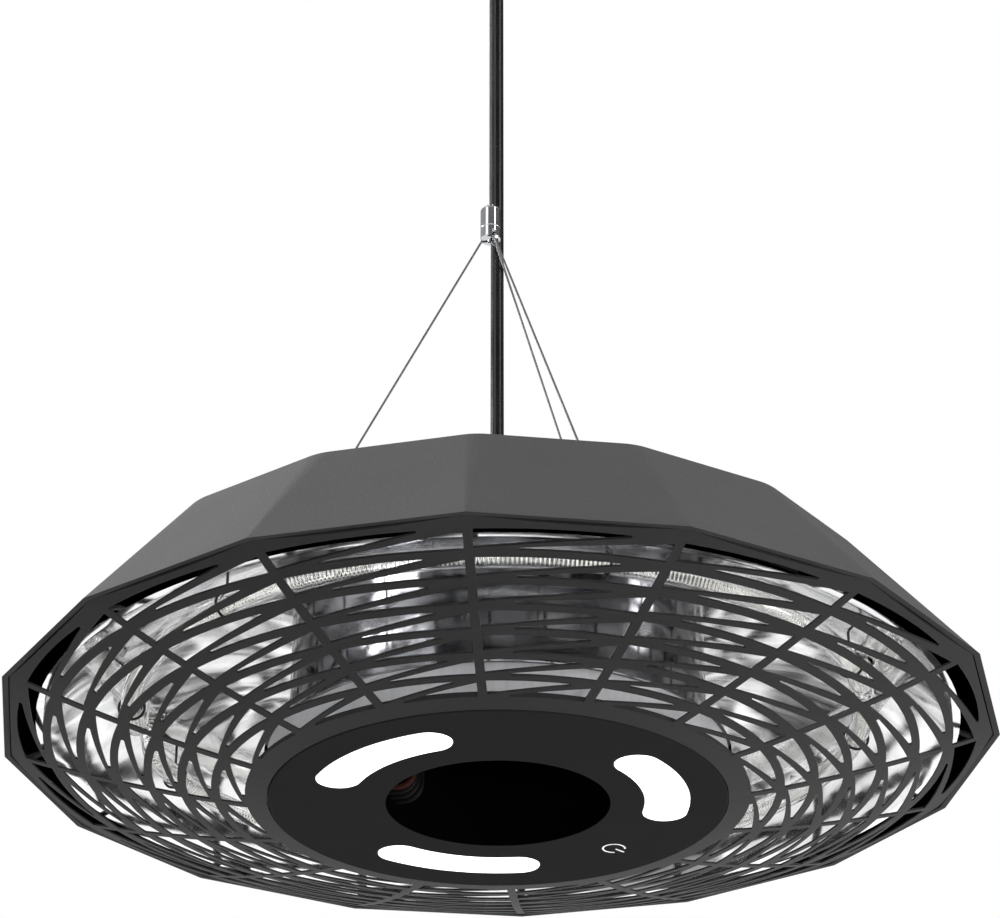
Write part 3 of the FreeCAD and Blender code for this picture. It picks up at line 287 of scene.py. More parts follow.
@dataclass(frozen=True)
class MouldedPlastic:
    """Moulded plastic with a spark-eroded skin."""

    name: str
    colour: Colour
    roughness: float = 0.5
    grain: float = 1600
    depth: float = 0.00003
    specular: float = 0.4

    def material(self) -> bpy.types.Material:
        """Make the material."""
        sheet = NodeSheet(self.name)
        place = sheet.coordinates()
        skin = sheet.noise(place, self.grain, 1)
        smear = sheet.noise(place, 30, 3, 0.6)
        sheet.join(sheet.tones(smear, [(0.3, shaded(self.colour, 0.93)), (0.7, shaded(self.colour, 1.08))]),
                   sheet.shader.inputs["Base Color"])
        sheet.join(sheet.range(smear, self.roughness - 0.05, self.roughness + 0.06),
                   sheet.shader.inputs["Roughness"])
        sheet.fix(Specular_IOR_Level=self.specular)
        sheet.bump([(skin, self.depth)])
        return sheet.material


@dataclass(frozen=True)
class BrightSheet:
    """Polished sheet with rolling lines round an axis and slow dents that break its reflections."""

    name: str
    colour: Colour
    roughness: float = 0.12
    lines: float = 60
    dents: float = 22
    dent_depth: float = 0.0006
    dull: float = 0.04
    line_depth: float = 0.000004
    metallic: float = 1.0

    def material(self) -> bpy.types.Material:
        """Make the material."""
        sheet = NodeSheet(self.name)
        ring = sheet.polar()
        streak = sheet.noise(sheet.stretched(ring, (self.lines, 12, 4)), 1, 2)
        dent = sheet.noise(sheet.coordinates(), self.dents, 1)
        sheet.join(sheet.tones(streak, [(0.3, shaded(self.colour, 0.88)), (0.65, shaded(self.colour, 1.0))]),
                   sheet.shader.inputs["Base Color"])
        sheet.join(sheet.range(streak, self.roughness - self.dull / 2, self.roughness + self.dull),
                   sheet.shader.inputs["Roughness"])
        sheet.fix(Metallic=self.metallic)
        sheet.bump([(streak, self.line_depth), (dent, self.dent_depth)])
        return sheet.material


@dataclass(frozen=True)
class TurnedMetal:
    """Plated or bare metal with fine turning lines and a little handling wear."""

    name: str
    colour: Colour
    roughness: float = 0.2
    lines: float = 2500
    depth: float = 0.00001
    wear: float = 0.12

    def material(self) -> bpy.types.Material:
        """Make the material."""
        sheet = NodeSheet(self.name)
        line = sheet.noise(sheet.coordinates((0.04, 0.04, 1)), self.lines, 1)
        worn = sheet.noise(sheet.coordinates(), 140, 3, 0.6)
        sheet.join(sheet.tones(worn, [(0.35, shaded(self.colour, 0.88)), (0.65, shaded(self.colour, 1.0))]),
                   sheet.shader.inputs["Base Color"])
        sheet.join(sheet.range(worn, max(0.03, self.roughness - self.wear / 2), self.roughness + self.wear),
                   sheet.shader.inputs["Roughness"])
        sheet.fix(Metallic=1.0)
        sheet.bump([(line, self.depth)])
        return sheet.material


@dataclass(frozen=True)
class GlowingLens:
    """Lit diffuser: milky plastic that glows evenly, with a faint cloud in its tone."""

    name: str
    glow: Colour
    strength: float = 1.0

    def material(self) -> bpy.types.Material:
        """Make the material."""
        sheet = NodeSheet(self.name)
        cloud = sheet.noise(sheet.coordinates(), 40, 2)
        sheet.join(sheet.tones(cloud, [(0.3, shaded(self.glow, 0.985)), (0.7, shaded(self.glow, 1.0))]),
                   sheet.shader.inputs["Emission Color"])
        sheet.join(sheet.range(cloud, 0.28, 0.36), sheet.shader.inputs["Roughness"])
        sheet.fix(Base_Color=(0.9, 0.9, 0.9, 1), Emission_Strength=self.strength)
        return sheet.material


@dataclass(frozen=True)
class ClearQuartz:
    """Clear fused quartz with faint drawing lines."""

    name: str
    tint: Colour = (0.97, 0.975, 0.97)

    def material(self) -> bpy.types.Material:
        """Make the material."""
        sheet = NodeSheet(self.name)
        ring = sheet.polar()
        drawn = sheet.noise(sheet.stretched(ring, (3, 900, 900)), 1, 1)
        sheet.join(sheet.tones(drawn, [(0.3, shaded(self.tint, 0.97)), (0.7, shaded(self.tint, 1.0))]),
                   sheet.shader.inputs["Base Color"])
        sheet.join(sheet.range(drawn, 0.01, 0.05), sheet.shader.inputs["Roughness"])
        sheet.fix(Transmission_Weight=1.0, IOR=1.458)
        return sheet.material


@dataclass(frozen=True)
class FlexJacket:
    """Extruded rubbery jacket with faint drawing lines along it and dull patches from handling."""

    name: str
    colour: Colour
    roughness: float = 0.42
    specular: float = 0.5

    def material(self) -> bpy.types.Material:
        """Make the material."""
        sheet = NodeSheet(self.name)
        drawn = sheet.noise(sheet.coordinates((1, 1, 0.03)), 1800, 2)
        handled = sheet.noise(sheet.coordinates(), 35, 3, 0.6)
        sheet.join(sheet.tones(handled, [(0.3, shaded(self.colour, 0.85)), (0.7, shaded(self.colour, 1.15))]),
                   sheet.shader.inputs["Base Color"])
        sheet.join(sheet.range(handled, self.roughness - 0.06, self.roughness + 0.08),
                   sheet.shader.inputs["Roughness"])
        sheet.fix(Specular_IOR_Level=self.specular)
        sheet.bump([(drawn, 0.00002)])
        return sheet.material


@dataclass(frozen=True)
class SleevedLead:
    """Woven sleeving on the leads in the well: black, with one rust-red lead by its direction."""

    name: str
    colour: Colour
    marked: Colour
    low_angle: float
    high_angle: float

    def material(self) -> bpy.types.Material:
        """Make the material."""
        sheet = NodeSheet(self.name)
        parts = sheet.add("ShaderNodeSeparateXYZ")
        sheet.join(sheet.polar(), parts.inputs["Vector"])
        turn = sheet.add("ShaderNodeMath", operation="WRAP")
        turn.inputs[1].default_value = math.tau
        turn.inputs[2].default_value = 0.0
        sheet.join(parts.outputs["X"], turn.inputs[0])
        low, high = math.radians(self.low_angle), math.radians(self.high_angle)
        share = sheet.range(turn.outputs[0], 0, 1, low, high)
        sheet.join(sheet.tones(share, [(0.0, shaded(self.colour, 1)), (0.02, shaded(self.marked, 1)),
                                       (0.98, shaded(self.marked, 1)), (1.0, shaded(self.colour, 1))]),
                   sheet.shader.inputs["Base Color"])
        weave = sheet.noise(sheet.coordinates((1, 1, 0.6), (0, 45, 30)), 1500, 1)
        sheet.join(sheet.range(weave, 0.55, 0.8), sheet.shader.inputs["Roughness"])
        sheet.fix(Specular_IOR_Level=0.05)
        sheet.bump([(weave, 0.0001)])
        return sheet.material


@dataclass(frozen=True)
class BoardLaminate:
    """Circuit board laminate with darker tracks under its lacquer."""

    name: str
    colour: Colour

    def material(self) -> bpy.types.Material:
        """Make the material."""
        sheet = NodeSheet(self.name)
        tracks = sheet.add("ShaderNodeTexBrick", offset=0.5)
        for name, number in (("Scale", 160), ("Mortar Size", 0.06), ("Mortar Smooth", 0.2)):
            tracks.inputs[name].default_value = number
        tracks.inputs["Color1"].default_value = shaded(self.colour, 0.9)
        tracks.inputs["Color2"].default_value = shaded(self.colour, 1.05)
        tracks.inputs["Mortar"].default_value = shaded(self.colour, 0.55)
        sheet.join(sheet.coordinates(), tracks.inputs["Vector"])
        sheet.join(tracks.outputs["Color"], sheet.shader.inputs["Base Color"])
        sheet.join(sheet.range(tracks.outputs["Fac"], 0.3, 0.5, 0, 1), sheet.shader.inputs["Roughness"])
        return sheet.material


class Palette:
    """All finishes of the heater, each made once."""

    FINISHES: tuple[Finish, ...] = (
        PowderCoat("shade_paint", tone("5e5e5e"), 0.66, 700, 0.0003, 0.05, 0.1),
        PowderCoat("grille_paint", tone("262626"), 0.46, 1300, 0.00003, 0.08, 0.03),
        MouldedPlastic("panel_skin", tone("1b1b1b"), 0.55, 1500, 0.00003, 0.005),
        GlowingLens("lens_glow", (1.0, 1.0, 0.995), 1.05),
        BoardLaminate("board_green", tone("2f5b3c")),
        MouldedPlastic("component_grey", tone("3a3d42"), 0.4),
        BrightSheet("reflector_bright", tone("f4f4f5"), 0.09, 24, 22, 0.0007),
        # The drum's colour is far darker than polished metal: painted shade standing in for the dark
        # reflections on its middle.
        BrightSheet("drum_painted_shade", tone("505052"), 0.05, 40, 14, 0.00008, 0.02, 0.000002),
        BrightSheet("carrier_zinc", tone("b2b2b4"), 0.42, 40, 60, 0.0001, 0.1, 0.00001, 0.1),
        # Near-black with no sheen: black paint taken darker still, as painted shade for the centre well, the
        # panel's hole wall and the inside of the shade.
        PowderCoat("black_and_painted_shade", tone("030303"), 0.75, 900, 0.00005, 0.1, 0.0),
        SleevedLead("lead_sleeving", tone("060606"), tone("240c08"), 177.5, 184.5),
        ClearQuartz("quartz_clear"),
        TurnedMetal("filament_alloy", tone("e6e4e0"), 0.42, 1800, 0.00001, 0.15),
        MouldedPlastic("ceramic_white", tone("d9d4c8"), 0.55, 800, 0.00004, 0.4),
        TurnedMetal("steel_bright", tone("b4b4b6"), 0.28),
        TurnedMetal("wire_steel", tone("686869"), 0.34),
        TurnedMetal("chrome_plate", tone("b8b9bc"), 0.08, 3000, 0.000006, 0.06),
        FlexJacket("cord_black", tone("0d0d0e"), 0.26, 0.3),
        MouldedPlastic("gland_black", tone("1a1a1b"), 0.45),
        PowderCoat("cover_paint", tone("545454"), 0.6, 700, 0.0001, 0.05, 0.3),
        MouldedPlastic("key_ink", tone("e8e8e8"), 0.6, 1200, 0.00001, 0.3),
    )

    def __init__(self) -> None:
        """Make every material."""
        self.materials = {finish.name: finish.material() for finish in self.FINISHES}

    def __getitem__(self, name: str) -> bpy.types.Material:
        """Give a material by its finish's name."""
        return self.materials[name]


@dataclass
class Route:
    """A smooth line through the air that a wire, cord or coil follows."""

    controls: Sequence[Point]
    fineness: int = 24

    def __post_init__(self) -> None:
        """Read the line's points from a spline with no thickness."""
        curve = bpy.data.curves.new("route", "CURVE")
        curve.dimensions = "3D"
        spline = curve.splines.new("NURBS")
        spline.points.add(len(self.controls) - 1)
        for point, place in zip(spline.points, self.controls):
            point.co = (*place, 1.0)
        spline.order_u = 3
        spline.use_endpoint_u = True
        spline.resolution_u = self.fineness
        carrier = bpy.data.objects.new("route", curve)
        bpy.context.scene.collection.objects.link(carrier)
        bpy.context.view_layer.update()
        mesh = bpy.data.meshes.new_from_object(carrier.evaluated_get(bpy.context.evaluated_depsgraph_get()))
        self.points = [vertex.co.copy() for vertex in mesh.vertices]
        bpy.data.meshes.remove(mesh)
        bpy.data.objects.remove(carrier)
        bpy.data.curves.remove(curve)
        self.stations = [0.0]
        for start, end in zip(self.points, self.points[1:]):
            self.stations.append(self.stations[-1] + (end - start).length)
        self.length = self.stations[-1]
        self._carry_frames()

    def _carry_frames(self) -> None:
        """Carry a pair of cross directions along the line without twist."""
        ahead = [(b - a).normalized() for a, b in zip(self.points, self.points[1:])]
        ahead.append(ahead[-1])
        side = ahead[0].orthogonal().normalized()
        self.sides = []
        for before, after in zip([ahead[0], *ahead], ahead):
            side = (before.rotation_difference(after) @ side).normalized()
            self.sides.append((side, after.cross(side).normalized()))

    def carried(self, place: Vector) -> Vector:
        """Carry a point of a straight bar along X onto the line.

        Args:
            place: Distance along the bar and offsets across it.

        Returns:
            The same point on the curved line.
        """
        low, high = 0, len(self.stations) - 2
        while low < high:
            middle = (low + high + 1) // 2
            if self.stations[middle] <= place.x:
                low = middle
            else:
                high = middle - 1
        step = self.stations[low + 1] - self.stations[low]
        share = min(1.0, max(0.0, (place.x - self.stations[low]) / step))
        centre = self.points[low].lerp(self.points[low + 1], share)
        across = self.sides[low][0].lerp(self.sides[low + 1][0], share)
        upward = self.sides[low][1].lerp(self.sides[low + 1][1], share)
        return centre + across * place.y + upward * place.z


class Workshop:
    """Makes, joins and dresses pieces."""

    HEAD_DOME: ClassVar[Pairs] = ((1, 0), (1, 0.45), (0.9, 0.8), (0.66, 1.0))
    CROSS_ARM: ClassVar[Pairs] = ((0.5, -0.12), (0.5, 0.12), (0.12, 0.12))
    CROSS_DEPTH: ClassVar[float] = 0.5
    CROSS_TAPER: ClassVar[float] = 0.75
    HEAD_FACETS: ClassVar[int] = 24

    def __init__(self, palette: Palette) -> None:
        """Keep the finishes at hand."""
        self.palette = palette

    def piece(self, bm: bmesh.types.BMesh, name: str, finish: str, body: Body, slot: str,
              replaces: Sequence[str] = (), crease: float = 38, merge: bool = True) -> bpy.types.Object:
        """Turn a bmesh into a finished piece that rides on a body.

        Args:
            bm: The shape, which is freed.
            name: Name of the piece.
            finish: Name of its finish.
            body: Body that it rides on.
            slot: Material slot of the record; not used.
            replaces: Nodes that it stands for.
            crease: Angle in degrees above which an edge stays sharp.
            merge: Whether doubles are merged and normals turned outwards first.

        Returns:
            The new object.
        """
        if merge:
            bmesh.ops.remove_doubles(bm, verts=bm.verts[:], dist=WELD)
            bmesh.ops.recalc_face_normals(bm, faces=bm.faces[:])
        limit = math.radians(crease)
        for face in bm.faces:
            face.smooth = True
        for edge in bm.edges:
            edge.smooth = not (edge.is_manifold and edge.calc_face_angle(0.0) > limit)
        mesh = bpy.data.meshes.new(name)
        bm.to_mesh(mesh)
        bm.free()
        if "custom_normal" in mesh.attributes:
            mesh.attributes.remove(mesh.attributes["custom_normal"])
        mesh.materials.clear()
        mesh.materials.append(self.palette[finish])
        item = bpy.data.objects.new(name, mesh)
        bpy.context.scene.collection.objects.link(item)
        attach(item, body.value)
        if replaces:
            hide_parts(*replaces)
        LOG.info("%s: %d faces, %s", name, len(mesh.polygons), finish)
        return item

    def coat(self, finish: str, *nodes: str) -> None:
        """Give CAD nodes whose shape stays their material."""
        for name in nodes:
            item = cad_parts[name]
            item.data.materials.clear()
            item.data.materials.append(self.palette[finish])
            LOG.info("%s: as built, %s", name, finish)

    def repaint(self, item: bpy.types.Object, finish: str,
                test: Callable[[bpy.types.MeshPolygon], bool]) -> None:
        """Give the faces of a piece that pass a test another finish.

        Args:
            item: The piece.
            finish: Name of the other finish.
            test: Whether a face takes it.
        """
        item.data.materials.append(self.palette[finish])
        for face in item.data.polygons:
            if test(face):
                face.material_index = len(item.data.materials) - 1

    def welded(self, node: str, flatten: bool = True) -> bmesh.types.BMesh:
        """Copy a CAD node's mesh and merge its loose triangles.

        Args:
            node: Name of the CAD node.
            flatten: Whether triangles of one flat face are joined.

        Returns:
            The merged copy.
        """
        bm = bmesh.new()
        bm.from_mesh(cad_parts[node].data)
        bmesh.ops.remove_doubles(bm, verts=bm.verts[:], dist=CAD_WELD)
        if flatten:
            bmesh.ops.dissolve_limit(bm, angle_limit=math.radians(FLAT_ANGLE), use_dissolve_boundaries=False,
                                     verts=bm.verts[:], edges=bm.edges[:], delimit=set())
        return bm

    def eased(self, item: bpy.types.Object, width: float, segments: int = 2,
              angle: float = 40) -> bpy.types.Object:
        """Round a piece's sharp edges and weight its normals by face.

        Args:
            item: The piece.
            width: Width of the rounding in metres.
            segments: Steps across it.
            angle: Edges sharper than this angle in degrees are rounded.

        Returns:
            The same piece.
        """
        bevel = item.modifiers.new("eased_edges", "BEVEL")
        bevel.width = width
        bevel.segments = segments
        bevel.profile = 0.5
        bevel.limit_method = "ANGLE"
        bevel.angle_limit = math.radians(angle)
        bevel.use_clamp_overlap = True
        self.weighted(item)
        return item

    def weighted(self, item: bpy.types.Object) -> None:
        """Let a piece's large faces set its shading."""
        normals = item.modifiers.new("face_weights", "WEIGHTED_NORMAL")
        normals.keep_sharp = True

    def trimmed_copy(self, node: str, finish: str, body: Body, slot: str, width: float,
                     segments: int = 2) -> bpy.types.Object:
        """Stand a copy of a CAD node with eased edges in its place.

        Args:
            node: Name of the CAD node.
            finish: Name of its finish.
            body: Body that it rides on.
            slot: Material slot of the record.
            width: Width of the edges' rounding in metres.
            segments: Steps across the rounding.

        Returns:
            The new piece.
        """
        item = self.piece(self.welded(node), f"{node}_eased", finish, body, slot, [node], merge=False)
        return self.eased(item, width, segments)

    def swept(self, route: Route, radius: float, sides: int, step: float, lobes: int = 0, lay: float = 0.0,
              depth: float = 0.0) -> bmesh.types.BMesh:
        """Draw a round or stranded section along a route.

        Args:
            route: Line to follow.
            radius: Radius of the section.
            sides: Points round the section.
            step: Distance between rings along the route.
            lobes: Strands round the section, or none.
            lay: Length of one full twist of the strands.
            depth: Depth of the grooves between strands as a share of the radius.

        Returns:
            The swept shape with closed ends.
        """
        bm = bmesh.new()
        flat = Matrix.Rotation(math.pi / 2, 4, "Y")
        bmesh.ops.create_circle(bm, cap_ends=False, radius=radius, segments=sides, matrix=flat)
        for vertex in bm.verts:
            angle = math.atan2(vertex.co.z, vertex.co.y)
            groove = abs(math.sin(lobes * angle / 2)) if lobes else 1.0
            vertex.co *= 1 - depth * (1 - groove)
        steps = max(1, round(route.length / step))
        turn = math.tau * route.length / lay if lay else 0.0
        bmesh.ops.spin(bm, geom=bm.verts[:] + bm.edges[:], cent=(0, 0, 0), axis=(1, 0, 0),
                       dvec=(route.length / steps, 0, 0), angle=turn, steps=steps, use_duplicate=False)
        bmesh.ops.holes_fill(bm, edges=[edge for edge in bm.edges if edge.is_boundary], sides=0)
        for vertex in bm.verts:
            vertex.co = route.carried(vertex.co)
        bmesh.ops.recalc_face_normals(bm, faces=bm.faces[:])
        return bm

    def coiled(self, route: Route, ring: float, wire: float, pitch: float, steps: int = 10,
               sides: int = 6) -> bmesh.types.BMesh:
        """Wind a wire into a coil along a route.

        Args:
            route: Middle line of the coil.
            ring: Radius of the coil at the wire's middle.
            wire: Radius of the wire.
            pitch: Distance from turn to turn.
            steps: Steps round a turn.
            sides: Points round the wire.

        Returns:
            The coil with closed ends.
        """
        bm = bmesh.new()
        bmesh.ops.create_circle(bm, cap_ends=False, radius=wire, segments=sides,
                                matrix=Matrix.Translation((0, ring, 0)))
        turns = route.length / pitch
        count = round(turns * steps)
        bmesh.ops.spin(bm, geom=bm.verts[:] + bm.edges[:], cent=(0, 0, 0), axis=(1, 0, 0),
                       dvec=(route.length / count, 0, 0), angle=math.tau * turns, steps=count,
                       use_duplicate=False)
        bmesh.ops.holes_fill(bm, edges=[edge for edge in bm.edges if edge.is_boundary], sides=0)
        for vertex in bm.verts:
            vertex.co = route.carried(vertex.co)
        bmesh.ops.recalc_face_normals(bm, faces=bm.faces[:])
        return bm

    def bridged(self, bm: bmesh.types.BMesh, first: Sequence[bmesh.types.BMEdge],
                second: Sequence[bmesh.types.BMEdge]) -> None:
        """Skin the gap between two loops of edges."""
        bmesh.ops.bridge_loops(bm, edges=[*first, *second])

    def loop(self, bm: bmesh.types.BMesh, radius: float, segments: int,
             place: Point) -> list[bmesh.types.BMEdge]:
        """Draw a round loop and give its edges.

        Args:
            bm: Shape to draw in.
            radius: Radius of the loop.
            segments: Points round it.
            place: Middle of the loop.

        Returns:
            The loop's edges.
        """
        made = bmesh.ops.create_circle(bm, cap_ends=False, radius=radius, segments=segments,
                                       matrix=Matrix.Translation(place))
        return list({edge for vertex in made["verts"] for edge in vertex.link_edges})

    def screw_heads(self, places: Sequence[Point], radius: float, height: float) -> bmesh.types.BMesh:
        """Make domed screw heads with cross recesses, facing up.

        Args:
            places: Middles of the heads' undersides.
            radius: Radius of a head.
            height: Height of a head.

        Returns:
            All heads in one shape.
        """
        bm = bmesh.new()
        for x, y, z in places:
            rings = [self.loop(bm, radius * share, self.HEAD_FACETS, (x, y, z + height * lift))
                     for share, lift in self.HEAD_DOME]
            for lower, upper in zip(rings, rings[1:]):
                self.bridged(bm, lower, upper)
            cross = bmesh.ops.create_circle(bm, cap_ends=True, radius=radius,
                                            segments=4 * len(self.CROSS_ARM),
                                            matrix=Matrix.Translation((x, y, z + height)))["verts"]
            for index, vertex in enumerate(cross):
                quarter, corner = divmod(index, len(self.CROSS_ARM))
                along, aside = self.CROSS_ARM[corner]
                spot = Vector((along * radius, aside * radius, 0))
                vertex.co = Vector((x, y, z + height)) + Matrix.Rotation(quarter * math.pi / 2, 3, "Z") @ spot
            floor = cross[0].link_faces[0]
            rim = list(floor.edges)
            sunk = bmesh.ops.extrude_discrete_faces(bm, faces=[floor])["faces"][0]
            bmesh.ops.translate(bm, verts=sunk.verts[:], vec=(0, 0, -height * self.CROSS_DEPTH))
            bmesh.ops.scale(bm, verts=sunk.verts[:], vec=(self.CROSS_TAPER, self.CROSS_TAPER, 1),
                            space=Matrix.Translation((-x, -y, 0)))
            self.bridged(bm, rings[-1], rim)
            bmesh.ops.holes_fill(bm, edges=rings[0], sides=0)
        bmesh.ops.remove_doubles(bm, verts=bm.verts[:], dist=WELD)
        return bm


@dataclass
class Shade:
    """Sixteen-sided pressed shade with its top plate and screws."""

    shop: Workshop
    facets: int = 16
    rim_radius: float = 0.300
    crown_radius: float = 0.228
    crown_height: float = RIM + 0.0876
    rim_round: float = 0.002
    crown_round: float = 0.030
    crown_edge: float = 0.0026
    lip: float = 0.0036
    wall: float = 0.0012
    opening: float = 0.190
    screw_ring: float = 0.197
    screw_count: int = 8
    post_ring: float = 0.119
    post_count: int = 6
    plate_top: float = RIM + 0.0891
    head_radius: float = 0.004
    head_height: float = 0.0024
    shank_radius: float = 0.002
    shank_point: float = 0.0017
    shank_length: float = 0.0079
    shank_facets: int = 16
    plate_edge: float = 0.0005
    wall_edge: float = 0.0004
    wall_angle: float = 50
    flat: float = 0.9
    collar: float = 0.01
    crown_bend: float = 0.5
    corner_steps: int = 6
    crown_steps: int = 4

    def outline(self, bm: bmesh.types.BMesh, radius: float, height: float,
                rounding: float) -> list[bmesh.types.BMEdge]:
        """Draw the shade's polygon with rounded corners.

        Args:
            bm: Shape to draw in.
            radius: Distance of the sharp corners from the axis.
            height: Level of the outline.
            rounding: Radius of the corners.

        Returns:
            The outline's edges.
        """
        made = bmesh.ops.create_circle(bm, cap_ends=True, radius=radius, segments=self.facets,
                                       matrix=Matrix.Translation((0, 0, height)))
        setback = rounding * math.tan(math.pi / self.facets)
        bmesh.ops.bevel(bm, geom=made["verts"], offset=setback, offset_type="OFFSET", affect="VERTICES",
                        segments=self.corner_steps, profile=0.5, material=-1, clamp_overlap=True)
        face = max((face for face in bm.faces if abs(face.calc_center_median().z - height) < WELD
                    and len(face.verts) > 4), key=lambda face: face.index)
        edges = list(face.edges)
        bmesh.ops.delete(bm, geom=[face], context="FACES_ONLY")
        return edges

    def build_shade(self) -> None:
        """Skin the shade from its lip to its service opening and give it its wall."""
        bm = bmesh.new()
        lip = self.outline(bm, self.rim_radius - self.lip, RIM, self.rim_round)
        rim = self.outline(bm, self.rim_radius, RIM, self.rim_round)
        self.shop.bridged(bm, lip, rim)
        crown = self.outline(bm, self.crown_radius, self.crown_height, self.crown_round)
        self.shop.bridged(bm, rim, crown)
        mouth = self.shop.loop(bm, self.opening, len(crown), (0, 0, self.crown_height))
        self.shop.bridged(bm, crown, mouth)
        bmesh.ops.recalc_face_normals(bm, faces=bm.faces[:])
        wall = max(bm.faces, key=lambda face: face.calc_area())
        if wall.normal.xy.dot(wall.calc_center_median().xy) < 0:
            bmesh.ops.reverse_faces(bm, faces=bm.faces[:])
        top = [edge for edge in bm.edges if edge.is_manifold
               and all(abs(v.co.z - self.crown_height) < WELD for v in edge.verts)
               and min(v.co.xy.length for v in edge.verts) > self.opening + self.collar
               and edge.calc_face_angle(0.0) > self.crown_bend]
        bmesh.ops.bevel(bm, geom=top, offset=self.crown_edge, offset_type="OFFSET", affect="EDGES",
                        segments=self.crown_steps, profile=0.5, material=-1, clamp_overlap=True)
        item = self.shop.piece(bm, "shade_skin", "shade_paint", Body.HEATER, "shade_coat", ["shade"],
                               merge=False)
        self.shop.repaint(item, "grille_paint",
                          lambda face: face.center.z < RIM + 10 * WELD and abs(face.normal.z) > self.flat)
        # The inside of the wall takes the near-black finish: painted shade where no light reaches.
        item.data.materials.append(self.shop.palette["black_and_painted_shade"])
        wall_maker = item.modifiers.new("sheet", "SOLIDIFY")
        wall_maker.thickness = self.wall
        wall_maker.offset = -1
        wall_maker.use_even_offset = True
        wall_maker.material_offset = len(item.data.materials) - 1
        self.shop.eased(item, self.wall_edge, angle=self.wall_angle)

    def build_top(self) -> None:
        """Ease the top plate's edges and set the screws with their recesses."""
        self.shop.trimmed_copy("top_plate", "shade_paint", Body.HEATER, "shade_coat", self.plate_edge)
        for node, ring, count in (("plate_screws", self.screw_ring, self.screw_count),
                                  ("post_screws", self.post_ring, self.post_count)):
            turns = [math.tau * index / count for index in range(count)]
            places = [(ring * math.cos(turn), ring * math.sin(turn), self.plate_top) for turn in turns]
            heads = self.shop.screw_heads(places, self.head_radius, self.head_height)
            for x, y, z in places:
                bmesh.ops.create_cone(heads, cap_ends=True, segments=self.shank_facets,
                                      radius1=self.shank_point, radius2=self.shank_radius,
                                      depth=self.shank_length,
                                      matrix=Matrix.Translation((x, y, z - self.shank_length / 2)))
            self.shop.piece(heads, f"{node}_cross", "steel_bright", Body.HEATER, "steel", [node])

    def build(self) -> None:
        """Build the shade and its top."""
        self.build_shade()
        self.build_top()


@dataclass
class Grille:
    """Slotted grille dish and the straps that hold its rim."""

    shop: Workshop

    def build(self) -> None:
        """Dress the grille's sheet and its straps."""
        self.shop.coat("grille_paint", "grille", "rim_brackets")


@dataclass
class Panel:
    """Control panel with lamp windows, touch key sign and the boards behind."""

    shop: Workshop
    face: float = -0.70806
    hole: float = 0.0666
    key_angle: float = 47.95
    key_ring: float = 0.1008
    sign_radius: float = 0.0068
    sign_line: float = 0.0011
    sign_gap: float = 40.0
    sign_bar: float = 0.0075
    bar_place: float = 0.78
    ink: float = 0.00006
    hole_slack: float = 0.0004

    def build_panel(self) -> None:
        """Ease the panel's edges and light its windows."""
        item = self.shop.trimmed_copy("control_panel", "panel_skin", Body.HEATER, "panel_plastic", 0.0007, 3)
        # The wall of the panel's hole takes the near-black finish: painted shade in the hole.
        self.shop.repaint(item, "black_and_painted_shade", lambda face: face.center.xy.length < self.hole + self.hole_slack
                          and abs(face.normal.z) < 0.5)
        self.shop.trimmed_copy("lamp_diffusers", "lens_glow", Body.HEATER, "diffuser_plastic", 0.0003, 2)

    def build_sign(self) -> None:
        """Print the touch key's standby sign: an open ring with a bar in its gap."""
        bm = bmesh.new()
        inner, outer = self.sign_radius - self.sign_line / 2, self.sign_radius + self.sign_line / 2
        start = math.radians(self.sign_gap)
        bm.edges.new([bm.verts.new((radius * math.cos(start), radius * math.sin(start), 0))
                      for radius in (inner, outer)])
        bmesh.ops.spin(bm, geom=bm.verts[:] + bm.edges[:], cent=(0, 0, 0), axis=(0, 0, 1), dvec=(0, 0, 0),
                       angle=math.tau - 2 * start, steps=40, use_duplicate=False)
        bar = bmesh.ops.create_grid(bm, x_segments=4, y_segments=1, size=0.5)["verts"]
        bmesh.ops.scale(bm, verts=bar, vec=(self.sign_bar, self.sign_line, 1))
        bmesh.ops.translate(bm, verts=bar, vec=(self.sign_radius * self.bar_place, 0, 0))
        skin = bmesh.ops.extrude_face_region(bm, geom=bm.faces[:])["geom"]
        raised = [part for part in skin if isinstance(part, bmesh.types.BMVert)]
        bmesh.ops.translate(bm, verts=raised, vec=(0, 0, -self.ink))
        heading = Matrix.Rotation(math.radians(self.key_angle), 4, "Z")
        spot = heading @ Matrix.Translation((self.key_ring, 0, self.face))
        bmesh.ops.transform(bm, verts=bm.verts[:], matrix=spot)
        self.shop.piece(bm, "key_sign", "key_ink", Body.HEATER, "panel_plastic")

    def build(self) -> None:
        """Build the panel, its sign and the boards."""
        self.build_panel()
        self.build_sign()
        self.shop.coat("board_green", "lamp_boards", "touch_board", "control_board")
        self.shop.coat("component_grey", "control_relays", "control_posts", "terminal_block")


